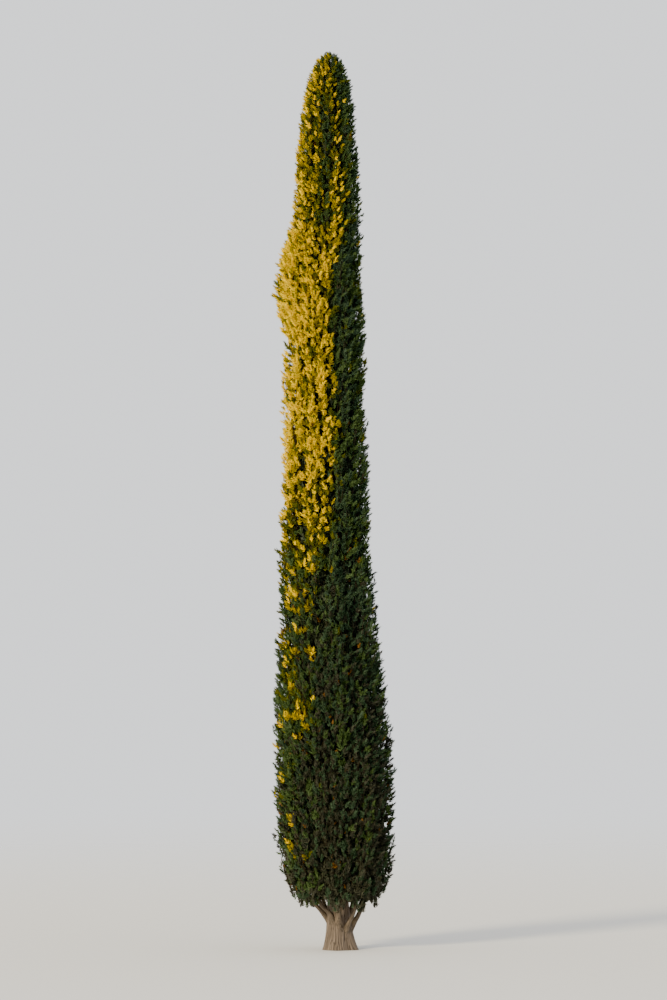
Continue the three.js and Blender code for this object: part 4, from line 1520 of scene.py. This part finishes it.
class CYPRESS_OT_limbs_and_twigs(Operator):
    """Makes the limbs inside the crown and the twigs of the plumes"""

    bl_idname = "cypress.limbs_and_twigs"
    bl_label = "Limbs and twigs"

    def execute(self, context):
        wood = context.scene.cypress_wood
        bark = bark_material("inner_limb_bark", wood.limb_dark, wood.limb_light, LIMB_FIBRES)
        dressed(mesh_object("inner_limbs", *crown_limbs(), bark), mass_names())
        bark = bark_material("twig_bark", TWIG_DARK, TWIG_LIGHT, TWIG_FIBRES)
        main, sides = grow_plumes(context.scene.cypress_foliage)
        grown = joined([fed_twigs(main, wood.twig_radius), side_twigs(sides, wood.twig_radius)])
        dressed(mesh_object("twigs", *grown, bark), mass_names())
        return {"FINISHED"}


# Foliage


def crown_tufts(look):
    """All the tufts that show, within the crown's outline: roots, headings, sizes, tones and whether dead."""
    main, sides = grow_plumes(look)
    side_size = look.tuft_length * SIDE_TUFT_SIZE
    sets = [
        tufts_along(main, look.tuft_step, look.tuft_length, TUFT_STARTS[0], 5),
        tufts_along(sides, look.tuft_step, side_size, TUFT_STARTS[1], 6),
        skin_tufts(look.skin_tufts),
        dome_tufts(look.dome_tufts),
    ]
    grown = np.concatenate([along_tufts(0.5, *tufts[:3]) for tufts in sets])
    sets.append(under_tufts(look.under_tufts, grown))
    root, heading, size, tone, dead = stacked(sets)
    root, heading, tone = clumped(root, heading, size, tone)
    root = drawn_in(root, heading, size)
    tip, middle = along_tufts(1, root, heading, size), along_tufts(0.5, root, heading, size)
    off, _ = off_axis(tip)
    dome = TREE_HEIGHT + DOME_CLEAR - DOME * (off[:, 0] ** 2 + off[:, 1] ** 2)
    kept = (tip[:, 2] < dome) & (middle[:, 2] > hem_height(middle))
    kept[kept] = neighbours(middle[kept], middle[kept], NEIGHBOUR_REACH) > FEWEST_NEIGHBOURS
    return only((root, heading, size, tone, dead), kept)


def dealt_colors(height, tone, dead):
    """Each tuft's place in the list of foliage colours, and which tufts are small dead ones."""
    number = np.arange(len(height))
    color = np.where(dead, BROWN, np.searchsorted(TONE_LIMITS, tone))
    # Painted shade low down: a share of the deep tufts turn dusky
    dusky = chance(number, 95) < np.interp(height, DUSKY_HEIGHTS, DUSKY_SHARES)
    color[(color == 0) & dusky] = DUSKY
    amber = chance(number, 96) < np.interp(height, AMBER_HEIGHTS, AMBER_SHARES)
    color[amber] = BROWN
    return color, amber


class CYPRESS_OT_foliage(Operator):
    """Makes the leafy sprays, joined by colour"""

    bl_idname = "cypress.foliage"
    bl_label = "Foliage"

    def execute(self, context):
        look = context.scene.cypress_foliage
        root, heading, size, tone, dead = crown_tufts(look)
        color, amber = dealt_colors(root[:, 2], tone, dead)
        size = size * np.where(amber, AMBER_SIZE, 1)
        fine = [tuft_template(LEAFLETS, LEAFLET_WIDTH, kind) for kind in range(TEMPLATES)]
        for number, name in enumerate(FOLIAGE):
            mine = color == number
            if not mine.any():
                raise RuntimeError(f"no tuft has the colour {name}")
            material = foliage_material(f"{name}_foliage", getattr(look, name), *FINE_FINISH)
            leafy_pieces(f"foliage_{name}", only((root, heading, size), mine), fine, material, 100 * number)
        material = foliage_material("inner_foliage", look.inner, *COARSE_FINISH)
        coarse = [tuft_template(INNER_LEAFLETS, INNER_LEAFLET_WIDTH, 10 + kind) for kind in range(TEMPLATES)]
        leafy_pieces("foliage_inner", inner_tufts(look.inner_tufts), coarse, material, 900)
        return {"FINISHED"}


# Stage


class CYPRESS_OT_stage(Operator):
    """Makes the pale floor, the soft light and the camera"""

    bl_idname = "cypress.stage"
    bl_label = "Stage"

    def execute(self, context):
        settings = context.scene.cypress_stage
        self.make_floor(settings)
        self.make_light(context, settings)
        self.make_camera(context, settings)
        return {"FINISHED"}

    def make_floor(self, settings):
        rim = flat_vector(settings.floor_radius, ring_angles(FLOOR_SIDES))
        points = np.vstack([rim, [[0, 0, 0]]])
        fade_start, fade_end = FLOOR_FADE
        material = floor_material(settings.floor_color, fade_start, settings.floor_radius * fade_end)
        floor = mesh_object("floor", points, fan(np.arange(FLOOR_SIDES), FLOOR_SIDES), material)
        floor.location.z = -FLOOR_DROP

    def make_light(self, context, settings):
        world = bpy.data.worlds.new("soft_sky")
        world.use_nodes = True
        sky = world.node_tree.nodes["Background"]
        sky.inputs["Color"].default_value = (*settings.sky_color, 1.0)
        sky.inputs["Strength"].default_value = settings.sky_strength
        context.scene.world = world
        context.scene.view_settings.look = LOOK
        key = bpy.data.lights.new("key", "SUN")
        key.energy = settings.key_strength
        key.color = settings.key_color
        key.angle = KEY_SPREAD
        lamp = bpy.data.objects.new("key", key)
        lamp.rotation_mode = "QUATERNION"
        lamp.rotation_quaternion = Vector(KEY_DIRECTION).to_track_quat("-Z", "Y")
        context.scene.collection.objects.link(lamp)

    def make_camera(self, context, settings):
        low, high = CAD_BOX
        middle = (Vector(low) + Vector(high)) / 2
        back = Vector((0.0, -math.cos(settings.camera_rise), math.sin(settings.camera_rise)))
        lens = bpy.data.cameras.new("camera")
        lens.sensor_width = SENSOR_WIDTH
        shown_height = (high[2] - low[2]) / TREE_IN_VIEW
        lens.lens = lens.sensor_width / (shown_height / settings.camera_distance)
        lens.clip_end = FURTHEST_SEEN
        camera = bpy.data.objects.new("camera", lens)
        camera.location = middle + back * settings.camera_distance
        camera.rotation_mode = "QUATERNION"
        camera.rotation_quaternion = (-back).to_track_quat("-Z", "Y")
        context.scene.collection.objects.link(camera)
        context.scene.camera = camera


class CYPRESS_PT_panel(Panel):
    """Lists the pieces and their sizes and colours"""

    bl_idname = "CYPRESS_PT_panel"
    bl_label = "Columnar cypress"
    bl_space_type = "VIEW_3D"
    bl_region_type = "UI"
    bl_category = "Cypress"

    def draw(self, context):
        scene = context.scene
        for operator in OPERATORS:
            self.layout.operator(operator.bl_idname)
        for group in (scene.cypress_wood, scene.cypress_foliage, scene.cypress_stage):
            box = self.layout.box()
            for name in group.bl_rna.properties.keys():
                if name not in {"rna_type", "name"}:
                    box.prop(group, name)


OPERATORS = (CYPRESS_OT_trunk_and_boughs, CYPRESS_OT_limbs_and_twigs, CYPRESS_OT_foliage, CYPRESS_OT_stage)
CLASSES = (WoodSettings, FoliageSettings, StageSettings, *OPERATORS, CYPRESS_PT_panel)


def register():
    for each in CLASSES:
        bpy.utils.register_class(each)
    bpy.types.Scene.cypress_wood = PointerProperty(type=WoodSettings)
    bpy.types.Scene.cypress_foliage = PointerProperty(type=FoliageSettings)
    bpy.types.Scene.cypress_stage = PointerProperty(type=StageSettings)


def unregister():
    del bpy.types.Scene.cypress_wood
    del bpy.types.Scene.cypress_foliage
    del bpy.types.Scene.cypress_stage
    for each in reversed(CLASSES):
        bpy.utils.unregister_class(each)


def main():
    register()
    bpy.ops.cypress.trunk_and_boughs()
    bpy.ops.cypress.limbs_and_twigs()
    bpy.ops.cypress.foliage()
    bpy.ops.cypress.stage()
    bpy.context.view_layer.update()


if __name__ == "__main__":
    main()
